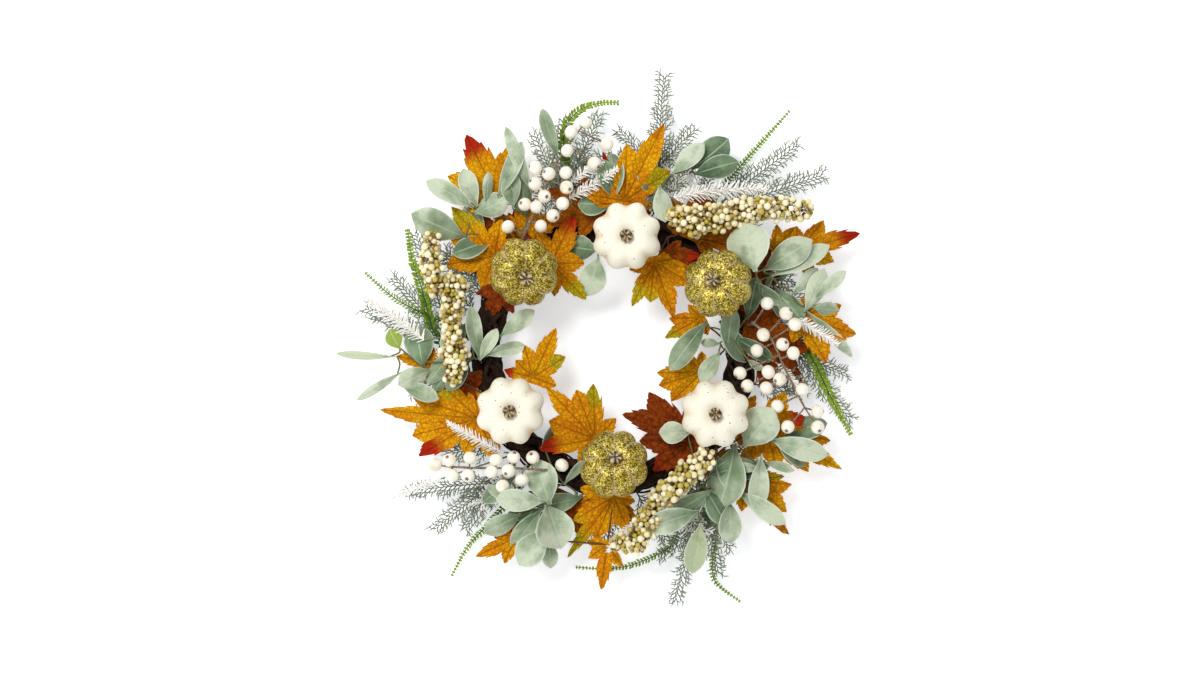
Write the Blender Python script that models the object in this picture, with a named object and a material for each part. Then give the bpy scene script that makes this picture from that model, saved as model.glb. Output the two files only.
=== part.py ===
"""Harvest door wreath: a bound hoop of vines that carries pumpkins, leaves, berries, seed heads and ferns.

Sizes are in millimetres, and MM turns them into Blender's metres. +Z is up, the door is the plane y = 0 and
the wreath faces -Y. The origin is the point of the door hook that the hanging loop rests on. A place on the
wreath is (angle, offset, depth): degrees round the ring from +X, how far outside the middle of the vine
bundle, and how far in front of the door. A heading is the direction that a leaf points in, in degrees
from +X, as seen from the front.
"""

import math

import bmesh
import bpy
from mathutils import Matrix, Vector

MM = 0.001

# Ring of vines
RING_RADIUS = 135.0
VINE_RADIUS = 5.5
CORE_RADIUS = 4.5
BACK_VINE_RADIUS = 4.0
WRAP_COUNT = 3
WRAP_TURNS = 4
WAIST_RADIUS = 1.6
GAP = 1.0
CLEARANCE = 0.3
RING_STEPS = 36
BACK_STEP_ROOM = 0.38

# Wires and the hanging loop
TIE_RADIUS = 0.6
TIE_ANGLES = (120.0, 330.0)
LOOP_WIRE_RADIUS = 0.75
LOOP_REACH = 43.0
LOOP_HALF_WIDTH = 7.0
LOOP_THROAT = 3.2
TIE_HALF_SPAN = 2.5
HANGER_ANGLE = 90.0
PICK_RADIUS = 1.1
STEM_RADIUS = 1.1
KNOB_RADIUS = 1.8 * STEM_RADIUS

# Leaves
LEAF_THICKNESS = 1.2
LEAF_STAGGER = 0.35

# Pumpkins
PUMPKIN_RADIUS = 36.5
PUMPKIN_HALF_HEIGHT = 25.0
PUMPKIN_DIMPLE = 0.36
PUMPKIN_LOBES = 8
LOBE_DEPTH = 0.09
STEM_SOCKET_DEPTH = 4.0
PUMPKIN_STEM_RADIUS = 5.5
PUMPKIN_STEM_LENGTH = 15.0
PICK_BORE_DEPTH = 12.0
PICK_INSERT = 10.0
PICK_CLEAR_RUN = 5.0
CUT_OVERRUN = 9.0

# Berries
BERRY_RADIUS = 7.4

# Layers, from the door forward
BACK_DEPTH = BACK_VINE_RADIUS * math.cos(math.pi / 6)
WRAP_ORBIT = CORE_RADIUS + VINE_RADIUS + GAP
BUNDLE_RADIUS = WRAP_ORBIT + VINE_RADIUS
BUNDLE_DEPTH = 2 * BACK_DEPTH + GAP + BUNDLE_RADIUS
TIE_ORBIT = (BUNDLE_RADIUS + CLEARANCE + TIE_RADIUS) / math.cos(math.radians(15))
FRONT_DEPTH = BUNDLE_DEPTH + TIE_ORBIT + TIE_RADIUS
MAPLE_LAYER = 2.6
MAPLE_DEPTH = FRONT_DEPTH + GAP
LAMB_LAYER = 4.6
LAMB_DEPTH = MAPLE_DEPTH + 2 * MAPLE_LAYER
PUMPKIN_BACK = LAMB_DEPTH + 2 * LAMB_LAYER
BERRY_DEPTH = PUMPKIN_BACK + GAP + BERRY_RADIUS
TWIG_RADIUS = 2.0
TWIG_LAYER = 2 * TWIG_RADIUS + GAP
TWIG_DEPTH = BACK_DEPTH + TWIG_RADIUS
FROND_DEPTH = TWIG_DEPTH + 2 * TWIG_LAYER
SPRIG_DEPTH = FROND_DEPTH + 5.0
SPIKE_DEPTH = BUNDLE_DEPTH + 6.0
CENTRE_Z = -(RING_RADIUS + LOOP_REACH)
OUTSIDE = BUNDLE_RADIUS + GAP + STEM_RADIUS

DEPTH_AXIS = Vector((0, 1, 0))

# (angle, offset, lean heading, lean) of each pumpkin: its stem leans that way by that many degrees
PUMPKINS = {
    "white_pumpkin_1": (84, -13, 0, 0),
    "gold_pumpkin_1": (34, -5, 155, 16),
    "white_pumpkin_2": (329, -13, 0, 0),
    "gold_pumpkin_2": (270, -20, 90, 20),
    "white_pumpkin_3": (209, -12, 0, 0),
    "gold_pumpkin_3": (138, -9, 285, 18),
}

# name: (layer, root angle, root offset, leaves), each leaf (angle, offset, heading, length, width share)
MAPLE_PICKS = {
    "maple_pick_1": (0, 134, 15, ((127, 69, 116, 76, 0.9), (141, 26, 150, 68, 1.0))),
    "maple_pick_2": (1, 88, 12, ((86, 25, 63, 92, 0.8), (89, 27, 106, 55, 0.3))),
    "maple_pick_3": (0, 133, 2, ((125, -20, 350, 44, 1.1), (147, 1, 242, 42, 0.9))),
    "maple_pick_4": (0, 65, 0, ((66, -30, 284, 58, 1.1), (61, -12, 318, 44, 0.9))),
    "maple_pick_5": (1, 4, -14, ((22, -36, 209, 42, 0.9), (348, -39, 176, 47, 0.9))),
    "maple_pick_6": (0, 21, 40, ((29, 87, 16, 69, 0.9), (33, 66, 50, 40, 0.7), (11, 64, 343, 62, 0.9))),
    "maple_pick_7": (0, 322, 20, ((334, 42, 331, 94, 0.8), (316, 57, 325, 74, 0.9), (312, -9, 152, 80, 1.0))),
    "maple_pick_8": (0, 260, 0, (
        (258, -42, 133, 77, 1.0), (270, 16, 236, 80, 0.8), (268, 66, 262, 50, 0.8), (242, 85, 206, 48, 0.8),
    )),
    "maple_pick_9": (0, 199, 6, ((197, -46, 65, 58, 0.9), (206, 23, 178, 106, 0.8), (183, 58, 170, 38, 0.9))),
}

# the same, but each leaf's last number is its width
LAMB_SPRIGS = {
    "lambs_ear_sprig_1": (0, 126, 25, (
        (142, 63, 157, 58, 28), (134, 77, 150, 55, 18), (133, 75, 110, 40, 17), (131, 70, 85, 34, 9),
        (135, 72, 24, 37, 23), (117, 54, 112, 72, 13), (106, 78, 108, 52, 13), (127, 68, 67, 63, 16),
        (125, 50, 92, 40, 16),
    )),
    "lambs_ear_sprig_2": (1, 78, 20, (
        (72, 62, 44, 45, 18), (67, 75, 40, 49, 26), (66, 70, 16, 47, 21), (75, 47, 279, 38, 16),
        (91, 20, 176, 34, 22), (99, -26, 172, 32, 28), (99, -33, 253, 41, 26),
    )),
    "lambs_ear_sprig_3": (0, 18, 30, (
        (30, 34, 102, 51, 38), (29, 43, 32, 58, 26), (26, 48, 28, 67, 18), (18, 61, 46, 38, 13),
        (12, 70, 66, 48, 19), (27, 29, 321, 38, 10), (15, 82, 43, 42, 12), (13, 79, 353, 27, 14),
        (12, 72, 316, 65, 10),
    )),
    "lambs_ear_sprig_4": (1, 8, -12, (
        (19, -32, 233, 62, 21), (17, -19, 303, 50, 19), (5, -23, 177, 20, 9), (1, -24, 238, 37, 17),
        (357, 5, 329, 18, 7),
    )),
    "lambs_ear_sprig_5": (0, 323, 32, (
        (324, 32, 53, 49, 35), (331, 51, 344, 61, 21), (323, 24, 256, 66, 34), (322, 62, 175, 35, 10),
        (325, 53, 265, 55, 19), (324, 60, 344, 31, 9), (312, 60, 325, 57, 17), (308, 62, 271, 43, 22),
    )),
    "lambs_ear_sprig_6": (1, 302, 28, (
        (298, 53, 197, 54, 23), (306, 42, 210, 57, 17), (297, 65, 259, 50, 21), (314, -19, 180, 32, 20),
    )),
    "lambs_ear_sprig_7": (0, 245, 25, (
        (247, 37, 106, 47, 28), (245, 36, 176, 49, 21), (245, 44, 160, 60, 13), (240, 60, 207, 42, 19),
        (245, 46, 233, 49, 18), (246, 38, 288, 47, 35), (249, 63, 233, 45, 27), (251, 73, 272, 29, 15),
        (249, 12, 47, 34, 8), (233, -7, 40, 41, 21),
    )),
    "lambs_ear_sprig_8": (0, 182, 12, (
        (183, 6, 99, 55, 14), (183, 6, 60, 36, 10), (172, -14, 38, 44, 16), (181, -1, 15, 40, 13),
        (184, 66, 100, 42, 28), (179, 90, 118, 23, 17), (181, 93, 177, 63, 8), (185, 88, 212, 55, 8),
        (185, 59, 207, 35, 18), (188, 92, 338, 42, 15),
    )),
}

# name: (stem's places, berries' places), each place (angle, offset)
BERRY_SPRAYS = {
    "berry_spray_1": (((128, 18), (116, 42), (107, 72), (99, 100)), (
        (97, 108), (101, 100), (92, 83), (103, 82), (96, 64), (113, 75), (105, 60), (110, 64), (115, 60),
        (106, 45), (114, 44), (121, 46), (118, 38), (109, 30), (114, 22), (120, 18), (130, 37),
    )),
    "berry_spray_2": (((12, 14), (5, 30), (356, 42), (344, 72)), (
        (18, 33), (13, 49), (9, 56), (7, 22), (3, 41), (0, 52), (1, 14), (351, -2), (353, 27), (351, 40),
        (346, 8), (347, 28), (349, 65), (342, 44), (344, 86), (337, 62), (340, 91),
    )),
    "berry_spray_3": (((242, 4), (230, 22), (221, 48), (215, 72)), (
        (212, 85), (213, 70), (216, 51), (217, 77), (220, 64), (222, 31), (224, 43), (228, 30), (226, 16),
        (232, 3), (230, 46), (245, -6), (234, 29),
    )),
}

# name: clumps of seeds along the stem, each (angle, offset, radius)
SEED_SPRAYS = {
    "seed_spray_1": (
        (65, 22, 11), (58, 26, 15), (52, 45, 13), (47, 68, 13), (42, 91, 12), (37, 112, 10),
    ),
    "seed_spray_2": (
        (188, 34, 9), (181, 31, 14), (173, 34, 9), (166, 40, 11), (157, 44, 11), (159, 63, 12),
        (153, 80, 11), (148, 88, 9),
    ),
    "seed_spray_3": (
        (311, 9, 10), (301, 12, 13), (293, 19, 13), (286, 28, 11), (281, 43, 12), (277, 63, 12),
        (271, 64, 8),
    ),
}

# name: (root angle, fronds, sprigs, spikes). A frond is (angle, offset, heading, length, width), a sprig is
# the places along it and a spike is (angle, offset, heading, length, radius).
FERN_SPRAYS = {
    "fern_spray_1": (78, (
        (76, 60, 89, 110, 16), (78, 62, 125, 58, 12), (76, 70, 52, 54, 12),
    ), (), ()),
    "fern_spray_2": (105, (
        (103, 60, 66, 72, 14), (109, 60, 116, 54, 12), (107, 60, 90, 64, 12),
    ), (
        ((104, 80), (102, 109), (98, 125), (93, 130), (89, 130)),
    ), (
        (106, 34, 27, 59, 6), (104, 50, 37, 38, 5),
    )),
    "fern_spray_3": (58, (
        (52, 60, 20, 112, 22), (53, 80, 36, 84, 14),
    ), (), (
        (69, 40, 10, 96, 9),
    )),
    "fern_spray_4": (172, (
        (175, 65, 150, 72, 14), (170, 60, 134, 66, 12), (163, 60, 112, 76, 12),
    ), (
        ((176, 50), (161, 81), (155, 101), (149, 120)), ((169, 60), (166, 104), (162, 143)),
    ), (
        (176, 65, 140, 77, 10),
    )),
    "fern_spray_5": (3, (
        (0, 60, 332, 60, 12), (0, 60, 304, 94, 16),
    ), (
        ((7, 54), (358, 76), (349, 98), (341, 130)),
    ), (
        (11, 56, 335, 54, 6), (356, 38, 306, 32, 5),
    )),
    "fern_spray_6": (226, (
        (228, 50, 183, 100, 14), (228, 50, 212, 86, 14), (228, 50, 237, 62, 14),
    ), (), (
        (222, 21, 155, 66, 6), (216, 90, 197, 56, 4),
    )),
    "fern_spray_7": (296, (
        (299, 60, 248, 102, 14), (299, 70, 210, 62, 12), (299, 70, 306, 38, 10), (299, 70, 287, 56, 12),
    ), (), (
        (276, 46, 226, 38, 5),
    )),
}

# name: (layer, places along it, the first of them its bend)
GREEN_TWIGS = {
    "green_twig_1": (0, ((59, 14), (57, 60), (56, 100), (54, 183))),
    "green_twig_2": (0, ((297, 14), (292, 50), (287, 78), (277, 90), (269, 95), (260, 97))),
    "green_twig_3": (1, ((304, 14), (301, 74), (295, 113), (294, 133), (297, 162))),
    "green_twig_4": (0, ((236, 14), (234, 86), (233, 122), (234, 159))),
}

MAPLE_HALF = ((0.0, 0.06), (0.0, 0.34), (0.2, 0.26), (0.5, 0.52), (0.5, 0.18))
LAMB_HALF = ((0.0, 0.2), (0.3, 0.9), (0.75, 0.84))
FROND_HALF = ((0.0, 0.2), (0.55, 1.0))


def at(angle, offset, depth):
    """The point at a place on the wreath."""
    turn = math.radians(angle)
    reach = RING_RADIUS + offset
    return Vector((reach * math.cos(turn), -depth, CENTRE_Z + reach * math.sin(turn))) * MM


def direction(heading):
    """The way that a heading points in."""
    turn = math.radians(heading)
    return Vector((math.cos(turn), 0, math.sin(turn)))


def pumpkin_axis(name):
    """Where a pumpkin's middle is, and the way that its stem points."""
    angle, offset, lean_heading, lean = PUMPKINS[name]
    lean = math.radians(lean)
    out = direction(lean_heading) * math.sin(lean) - DEPTH_AXIS * math.cos(lean)
    reach = math.hypot(PUMPKIN_HALF_HEIGHT * math.cos(lean), PUMPKIN_RADIUS * math.sin(lean))
    return at(angle, offset, PUMPKIN_BACK + reach), out


def clear_of_pumpkins(point, radius):
    """The point, moved sideways until a ball of this radius misses every pumpkin."""
    room = (PUMPKIN_RADIUS + radius + GAP) * MM
    for name in PUMPKINS:
        middle, _ = pumpkin_axis(name)
        away = Vector((point.x - middle.x, 0, point.z - middle.z))
        if away.length < room:
            point = point + away.normalized() * (room - away.length)
    return point


def finished(shape):
    """The shape as a mesh, with its faces pointing out."""
    bmesh.ops.recalc_face_normals(shape, faces=shape.faces)
    mesh = bpy.data.meshes.new("shape")
    shape.to_mesh(mesh)
    shape.free()
    return mesh


def tube(points, radii, sides, closed=False, reference=DEPTH_AXIS):
    """A round bar along the points, with one radius for each."""
    shape = bmesh.new()
    rings = []
    count = len(points)
    for i, point in enumerate(points):
        before = points[i - 1] if closed or i else point
        after = points[(i + 1) % count] if closed or i < count - 1 else point
        along = (after - before).normalized()
        side = along.cross(reference).normalized()
        up = side.cross(along)
        turns = [2 * math.pi * k / sides for k in range(sides)]
        rings.append([
            shape.verts.new(point + (side * math.cos(t) + up * math.sin(t)) * radii[i] * MM) for t in turns
        ])
    pairs = list(zip(rings, rings[1:]))
    if closed:
        pairs.append((rings[-1], rings[0]))
    else:
        shape.faces.new(rings[0])
        shape.faces.new(rings[-1])
    for first, second in pairs:
        for k in range(sides):
            shape.faces.new((first[k], first[k - 1], second[k - 1], second[k]))
    return finished(shape)


def bar(start, end, radius, sides=3):
    """A straight bar of one radius."""
    return tube([start, end], [radius, radius], sides)


def plate(half, base, heading, length, width):
    """A flat leaf from one half of its outline, which gives shares of its length and of half its width."""
    along = direction(heading) * length * MM
    across = direction(heading + 90) * width / 2 * MM
    outline = [*half, (1.0, 0.0), *((x, -y) for x, y in reversed(half))]
    shape = bmesh.new()
    corners = [shape.verts.new(base + along * x + across * y) for x, y in outline]
    face = shape.faces.new(corners)
    extruded = bmesh.ops.extrude_face_region(shape, geom=[face])["geom"]
    moved = [part for part in extruded if isinstance(part, bmesh.types.BMVert)]
    bmesh.ops.translate(shape, verts=moved, vec=-DEPTH_AXIS * LEAF_THICKNESS * MM)
    return finished(shape)


def ball(centre, radius, subdivisions):
    """A faceted ball."""
    shape = bmesh.new()
    place = Matrix.Translation(centre)
    bmesh.ops.create_icosphere(shape, subdivisions=subdivisions, radius=radius * MM, matrix=place)
    return finished(shape)


def material(name, colour, roughness, metallic=0.0):
    made = bpy.data.materials.new(name)
    made.use_nodes = True
    shader = made.node_tree.nodes["Principled BSDF"]
    shader.inputs["Base Color"].default_value = (*colour, 1)
    shader.inputs["Roughness"].default_value = roughness
    shader.inputs["Metallic"].default_value = metallic
    return made


def piece(name, mesh, origin, finish):
    """An object with its origin on a point, from a mesh that is already in place."""
    mesh.name = name
    mesh.transform(Matrix.Translation(-origin))
    mesh.materials.append(material(name, *finish))
    mesh.shade_smooth()
    mesh.set_sharp_from_angle(angle=math.radians(40))
    made = bpy.data.objects.new(name, mesh)
    made.location = origin
    bpy.context.scene.collection.objects.link(made)
    return made


def helper(mesh, group):
    """An object that is only cut or joined, in its group."""
    made = bpy.data.objects.new(mesh.name, mesh)
    made.hide_render = True
    made.display_type = "WIRE"
    group.objects.link(made)


def combine(base, meshes, operation):
    """Joins the meshes to an object, or cuts them from it."""
    group = bpy.data.collections.new(f"{base.name}_{operation.lower()}")
    group.hide_render = True
    bpy.context.scene.collection.children.link(group)
    for mesh in meshes:
        helper(mesh, group)
    step = base.modifiers.new(operation.title(), "BOOLEAN")
    step.operation = operation
    step.operand_type = "COLLECTION"
    step.collection = group
    step.solver = "EXACT"


VINE_FINISH = ((0.16, 0.09, 0.05), 0.85)
WIRE_FINISH = ((0.22, 0.14, 0.08), 0.6)


def waist_radius(angle):
    """The back vine's radius: it narrows where a wire crosses it, so that the wire doesn't stand proud."""
    mm_per_degree = math.radians(RING_RADIUS)
    widest = BACK_VINE_RADIUS
    for middle, half_width in waists():
        past = abs((angle - middle + 180) % 360 - 180) * mm_per_degree - half_width
        share = min(max(past / (BACK_VINE_RADIUS - WAIST_RADIUS), 0), 1)
        widest = min(widest, WAIST_RADIUS + (BACK_VINE_RADIUS - WAIST_RADIUS) * share)
    return widest


def waists():
    """The middle angle and half width of each narrow place on the back vine."""
    ties = [(angle, TIE_RADIUS + GAP) for angle in TIE_ANGLES]
    return [*ties, (HANGER_ANGLE, LOOP_THROAT + LOOP_WIRE_RADIUS + GAP)]


def vine_ring():
    """The core vine, and the vines that wind round it."""
    even = [360 * k / RING_STEPS for k in range(RING_STEPS)]
    core = [at(angle, 0, BUNDLE_DEPTH) for angle in even]
    piece("vine_core", tube(core, [CORE_RADIUS] * RING_STEPS, 5, closed=True), core[0], VINE_FINISH)
    for n in range(WRAP_COUNT):
        points = []
        for angle in even:
            phase = math.radians(angle * WRAP_TURNS + 360 * n / WRAP_COUNT)
            points.append(at(angle, WRAP_ORBIT * math.cos(phase), BUNDLE_DEPTH + WRAP_ORBIT * math.sin(phase)))
        mesh = tube(points, [VINE_RADIUS] * RING_STEPS, 5, closed=True)
        piece(f"vine_wrap_{n + 1}", mesh, points[0], VINE_FINISH)


def back_vine():
    """The rearmost vine, a flat hoop whose flat side lies on the door."""
    mm_per_degree = math.radians(RING_RADIUS)
    angles = []
    for middle, half_width in waists():
        ramp = half_width + BACK_VINE_RADIUS - WAIST_RADIUS
        for reach in (-ramp, -half_width, half_width, ramp):
            angles.append((middle + reach / mm_per_degree) % 360)
    ring_step = 360 / RING_STEPS
    for k in range(RING_STEPS):
        angle = ring_step * k
        spans = [abs((angle - middle + 180) % 360 - 180) * mm_per_degree for middle, _ in waists()]
        if min(spans) > ring_step * mm_per_degree * BACK_STEP_ROOM:
            angles.append(angle)
    angles.sort()
    points = [at(angle, 0, BACK_DEPTH) for angle in angles]
    radii = [waist_radius(angle) for angle in angles]
    piece("vine_back", tube(points, radii, 6, closed=True), points[0], VINE_FINISH)


def binding_wires():
    """Each wire goes round the bundle and behind the back vine, in its waist."""
    rear = BACK_DEPTH - WAIST_RADIUS * math.cos(math.pi / 6) - CLEARANCE - TIE_RADIUS
    for n, angle in enumerate(TIE_ANGLES):
        places = [(TIE_HALF_SPAN, rear)]
        for k in range(9):
            turn = math.radians(-30 + 30 * k)
            places.append((TIE_ORBIT * math.cos(turn), BUNDLE_DEPTH + TIE_ORBIT * math.sin(turn)))
        places.append((-TIE_HALF_SPAN, rear))
        points = [at(angle, *place) for place in places]
        mesh = tube(points, [TIE_RADIUS] * len(points), 5, closed=True, reference=direction(angle + 90))
        piece(f"binding_wire_{n + 1}", mesh, at(angle, 0, BUNDLE_DEPTH), WIRE_FINISH)


def hanging_loop():
    """A wire loop that hangs on the back vine's top waist, and turns round it."""
    hinge = at(HANGER_ANGLE, 0, BACK_DEPTH)
    orbit = WAIST_RADIUS + CLEARANCE + LOOP_WIRE_RADIUS
    top = LOOP_REACH + LOOP_WIRE_RADIUS
    wide = LOOP_HALF_WIDTH
    places = [(0, 0, -orbit - 0.4), (1.8, -orbit * 0.75, -orbit * 0.75), (2.6, -orbit, 0)]
    places += [(wide * 0.62, -orbit * 0.8, 6), (wide, -orbit * 0.3, 14)]
    for k in range(9):
        turn = math.pi * k / 8
        places.append((wide * math.cos(turn), 0, top - wide + wide * math.sin(turn)))
    places += [(-wide, orbit * 0.3, 14), (-wide * 0.62, orbit * 0.8, 6)]
    places += [(-2.6, orbit, 0), (-1.8, orbit * 0.75, -orbit * 0.75)]
    points = [hinge + Vector(place) * MM for place in places]
    pivot = bpy.data.objects.new("hanging_loop_pivot", None)
    pivot.location = hinge
    bpy.context.scene.collection.objects.link(pivot)
    mesh = tube(points, [LOOP_WIRE_RADIUS] * len(points), 5, closed=True, reference=Vector((0.2, 1, 0.1)))
    loop = piece("hanging_loop", mesh, hinge, WIRE_FINISH)
    loop.parent = pivot
    loop.location = (0, 0, 0)


def pumpkin_body():
    """A ribbed, dimpled body about the origin, with its stem end towards +Z."""
    around = 2 * PUMPKIN_LOBES
    rows = 7
    shape = bmesh.new()
    rings = []
    for row in range(1, rows):
        t = math.pi * row / rows
        dip = 1 - PUMPKIN_DIMPLE * (1 - math.sin(t)) ** 3
        height = -PUMPKIN_HALF_HEIGHT * math.cos(t) * dip
        ring = []
        for k in range(around):
            groove = LOBE_DEPTH if k % 2 == 0 else 0
            reach = PUMPKIN_RADIUS * math.sin(t) ** 0.8 * (1 - groove)
            turn = 2 * math.pi * k / around
            ring.append(shape.verts.new(Vector((reach * math.cos(turn), reach * math.sin(turn), height)) * MM))
        rings.append(ring)
    for first, second in zip(rings, rings[1:]):
        for k in range(around):
            shape.faces.new((first[k - 1], first[k], second[k], second[k - 1]))
    pole = PUMPKIN_HALF_HEIGHT * (1 - PUMPKIN_DIMPLE)
    for ring, height in ((rings[0], -pole), (rings[-1], pole)):
        tip = shape.verts.new(Vector((0, 0, height)) * MM)
        for k in range(around):
            shape.faces.new((ring[k - 1], ring[k], tip))
    return finished(shape)


def pumpkins():
    """Each pumpkin with its socket and bore, its stalk, and the wire that holds it."""
    pole = PUMPKIN_HALF_HEIGHT * (1 - PUMPKIN_DIMPLE)
    for name, (angle, _, _, _) in PUMPKINS.items():
        middle, out = pumpkin_axis(name)
        white = name.startswith("white")
        finish = ((0.93, 0.9, 0.78), 0.55) if white else ((0.5, 0.42, 0.06), 0.5)
        body = piece(name, pumpkin_body(), Vector(), finish)
        body.location = middle
        body.rotation_mode = "QUATERNION"
        body.rotation_quaternion = out.to_track_quat("Z", "Y")
        front = middle + out * pole * MM
        back = middle - out * pole * MM
        across = direction(angle + 90)
        socket = tube(
            [front - out * STEM_SOCKET_DEPTH * MM, front + out * CUT_OVERRUN * MM],
            [PUMPKIN_STEM_RADIUS + CLEARANCE] * 2, 10, reference=across,
        )
        bore = tube(
            [back + out * PICK_BORE_DEPTH * MM, back - out * CUT_OVERRUN * MM],
            [PICK_RADIUS + CLEARANCE] * 2, 8, reference=across,
        )
        combine(body, [socket, bore], "DIFFERENCE")
        root = front - out * (STEM_SOCKET_DEPTH - CLEARANCE) * MM
        lean = direction(angle + 60) * 1.5 * MM
        shares = ((0.0, 1.0), (0.34, 0.95), (0.6, 0.6), (0.85, 0.55), (1.0, 0.7))
        points = [root + out * PUMPKIN_STEM_LENGTH * x * MM + lean * x * x for x, _ in shares]
        radii = [PUMPKIN_STEM_RADIUS * y for _, y in shares]
        piece(f"{name}_stem", tube(points, radii, 7, reference=across), root, ((0.42, 0.33, 0.18), 0.7))
        inner = -(BUNDLE_RADIUS + GAP + PICK_RADIUS)
        route = [
            back + out * PICK_INSERT * MM,
            back - out * PICK_CLEAR_RUN * MM,
            at(angle, inner, BUNDLE_DEPTH + BUNDLE_RADIUS * 0.6),
            at(angle, inner, BUNDLE_DEPTH - BUNDLE_RADIUS * 0.6),
        ]
        piece(f"{name}_pick", tube(route, [PICK_RADIUS] * 4, 5, reference=across), route[0], WIRE_FINISH)


def leaf_picks(picks, half, depth, layer_step, finish, share_width):
    """Leaves on wire stems from one root. Each leaf lies a little in front of the last."""
    for name, (layer, angle, offset, leaves) in picks.items():
        level = depth + layer * layer_step
        root = at(angle, offset, level + LEAF_THICKNESS / 2)
        knob = ball(root, KNOB_RADIUS, 1)
        parts = []
        forks = [root]
        for n, (leaf_angle, leaf_offset, heading, length, width) in enumerate(leaves):
            step = level + LEAF_STAGGER * (n % 6)
            wide = width * length if share_width else width
            base = at(leaf_angle, leaf_offset, step)
            parts.append(plate(half, base, heading, length, wide))
            into = base - DEPTH_AXIS * LEAF_THICKNESS / 2 * MM + direction(heading) * length * 0.12 * MM
            nearest = min(forks, key=lambda fork: (fork - into).length)
            parts.append(bar(nearest, into, STEM_RADIUS))
            forks.append(into)
        combine(piece(name, knob, root, finish), parts, "UNION")


def nearest_on(points, target):
    """The closest place on a line through the points."""
    best = None
    for start, end in zip(points, points[1:]):
        run = end - start
        share = min(max((target - start).dot(run) / run.dot(run), 0), 1)
        spot = start + run * share
        if best is None or (target - spot).length < (target - best).length:
            best = spot
    return best


def berry_sprays():
    """Berries on short wires from one stem."""
    for name, (stem, berries) in BERRY_SPRAYS.items():
        line = [clear_of_pumpkins(at(*place, BERRY_DEPTH), STEM_RADIUS) for place in stem]
        parts = []
        for n, place in enumerate(berries):
            lift = (0.0, 2.4, 1.1)[n % 3]
            centre = clear_of_pumpkins(at(*place, BERRY_DEPTH + lift), BERRY_RADIUS)
            parts.append(ball(centre, BERRY_RADIUS, 1))
            parts.append(bar(nearest_on(line, centre), centre, STEM_RADIUS * 0.7))
        stalk = piece(name, tube(line, [STEM_RADIUS] * len(line), 4), line[0], ((0.9, 0.88, 0.82), 0.5))
        combine(stalk, parts, "UNION")


def seed_sprays():
    """Clumps of seeds along one stem."""
    for name, clumps in SEED_SPRAYS.items():
        line = []
        parts = []
        for angle, offset, radius in clumps:
            centre = clear_of_pumpkins(at(angle, offset, PUMPKIN_BACK + GAP + radius), radius)
            line.append(centre)
            parts.append(ball(centre, radius, 1))
        stalk = piece(name, tube(line, [STEM_RADIUS * 2] * len(line), 4), line[0], ((0.75, 0.66, 0.38), 0.6))
        combine(stalk, parts, "UNION")


def fern_sprays():
    """Fronds, sprigs and spikes from one root."""
    for name, (angle, fronds, sprigs, spikes) in FERN_SPRAYS.items():
        root = at(angle, OUTSIDE, FROND_DEPTH + LEAF_THICKNESS)
        parts = []
        for n, (place, offset, heading, length, width) in enumerate(fronds):
            base = at(place, offset, FROND_DEPTH + LEAF_STAGGER * n)
            parts.append(plate(FROND_HALF, base, heading, length, width))
            into = base - DEPTH_AXIS * LEAF_THICKNESS / 2 * MM + direction(heading) * length * 0.15 * MM
            parts.append(bar(root, into, STEM_RADIUS))
        for places in sprigs:
            line = [root] + [at(*place, SPRIG_DEPTH) for place in places]
            thick = [STEM_RADIUS] + [TWIG_RADIUS] * (len(places) - 1) + [STEM_RADIUS]
            parts.append(tube(line, thick, 4))
        for place, offset, heading, length, radius in spikes:
            base = at(place, max(offset, OUTSIDE + radius), SPIKE_DEPTH)
            run = direction(heading) * length * MM
            line = [base, base + run * 0.1, base + run * 0.7, base + run]
            parts.append(tube(line, [radius * 0.4, radius, radius * 0.8, radius * 0.2], 5))
            parts.append(bar(root, base + run * 0.06, STEM_RADIUS))
        stalk = piece(name, ball(root, KNOB_RADIUS, 1), root, ((0.42, 0.47, 0.43), 0.8))
        combine(stalk, parts, "UNION")


def green_twigs():
    """Twigs that bend at the vine, each under an empty at its bend."""
    for name, (layer, places) in GREEN_TWIGS.items():
        line = [at(*place, TWIG_DEPTH + TWIG_LAYER * layer) for place in places]
        radii = [TWIG_RADIUS] * (len(line) - 1) + [TWIG_RADIUS * 0.4]
        pivot = bpy.data.objects.new(f"{name}_bend", None)
        pivot.location = line[0]
        bpy.context.scene.collection.objects.link(pivot)
        twig = piece(name, tube(line, radii, 5), line[0], ((0.3, 0.45, 0.1), 0.6))
        twig.parent = pivot
        twig.location = (0, 0, 0)


def main():
    for old in list(bpy.data.objects):
        bpy.data.objects.remove(old)
    vine_ring()
    back_vine()
    binding_wires()
    hanging_loop()
    pumpkins()
    leaf_picks(MAPLE_PICKS, MAPLE_HALF, MAPLE_DEPTH, MAPLE_LAYER, ((0.75, 0.36, 0.05), 0.7), True)
    leaf_picks(LAMB_SPRIGS, LAMB_HALF, LAMB_DEPTH, LAMB_LAYER, ((0.5, 0.62, 0.54), 0.8), False)
    berry_sprays()
    seed_sprays()
    fern_sprays()
    green_twigs()


main()
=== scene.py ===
"""Harvest door wreath: bark, leaves, pumpkins, berries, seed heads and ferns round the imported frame.

Lengths in the tables are millimetres and MM turns them into metres. +Z is up, the door is the plane
y = 0 and the wreath faces -Y. A place on the wreath is (angle, offset, depth): degrees round the ring
from +X, how far outside the middle of the vines, and how far in front of the door. A heading is the way
that a leaf points, in degrees from +X as seen from the front.
"""

import math
import random

import bmesh
import bpy
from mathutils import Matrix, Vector, noise


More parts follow.
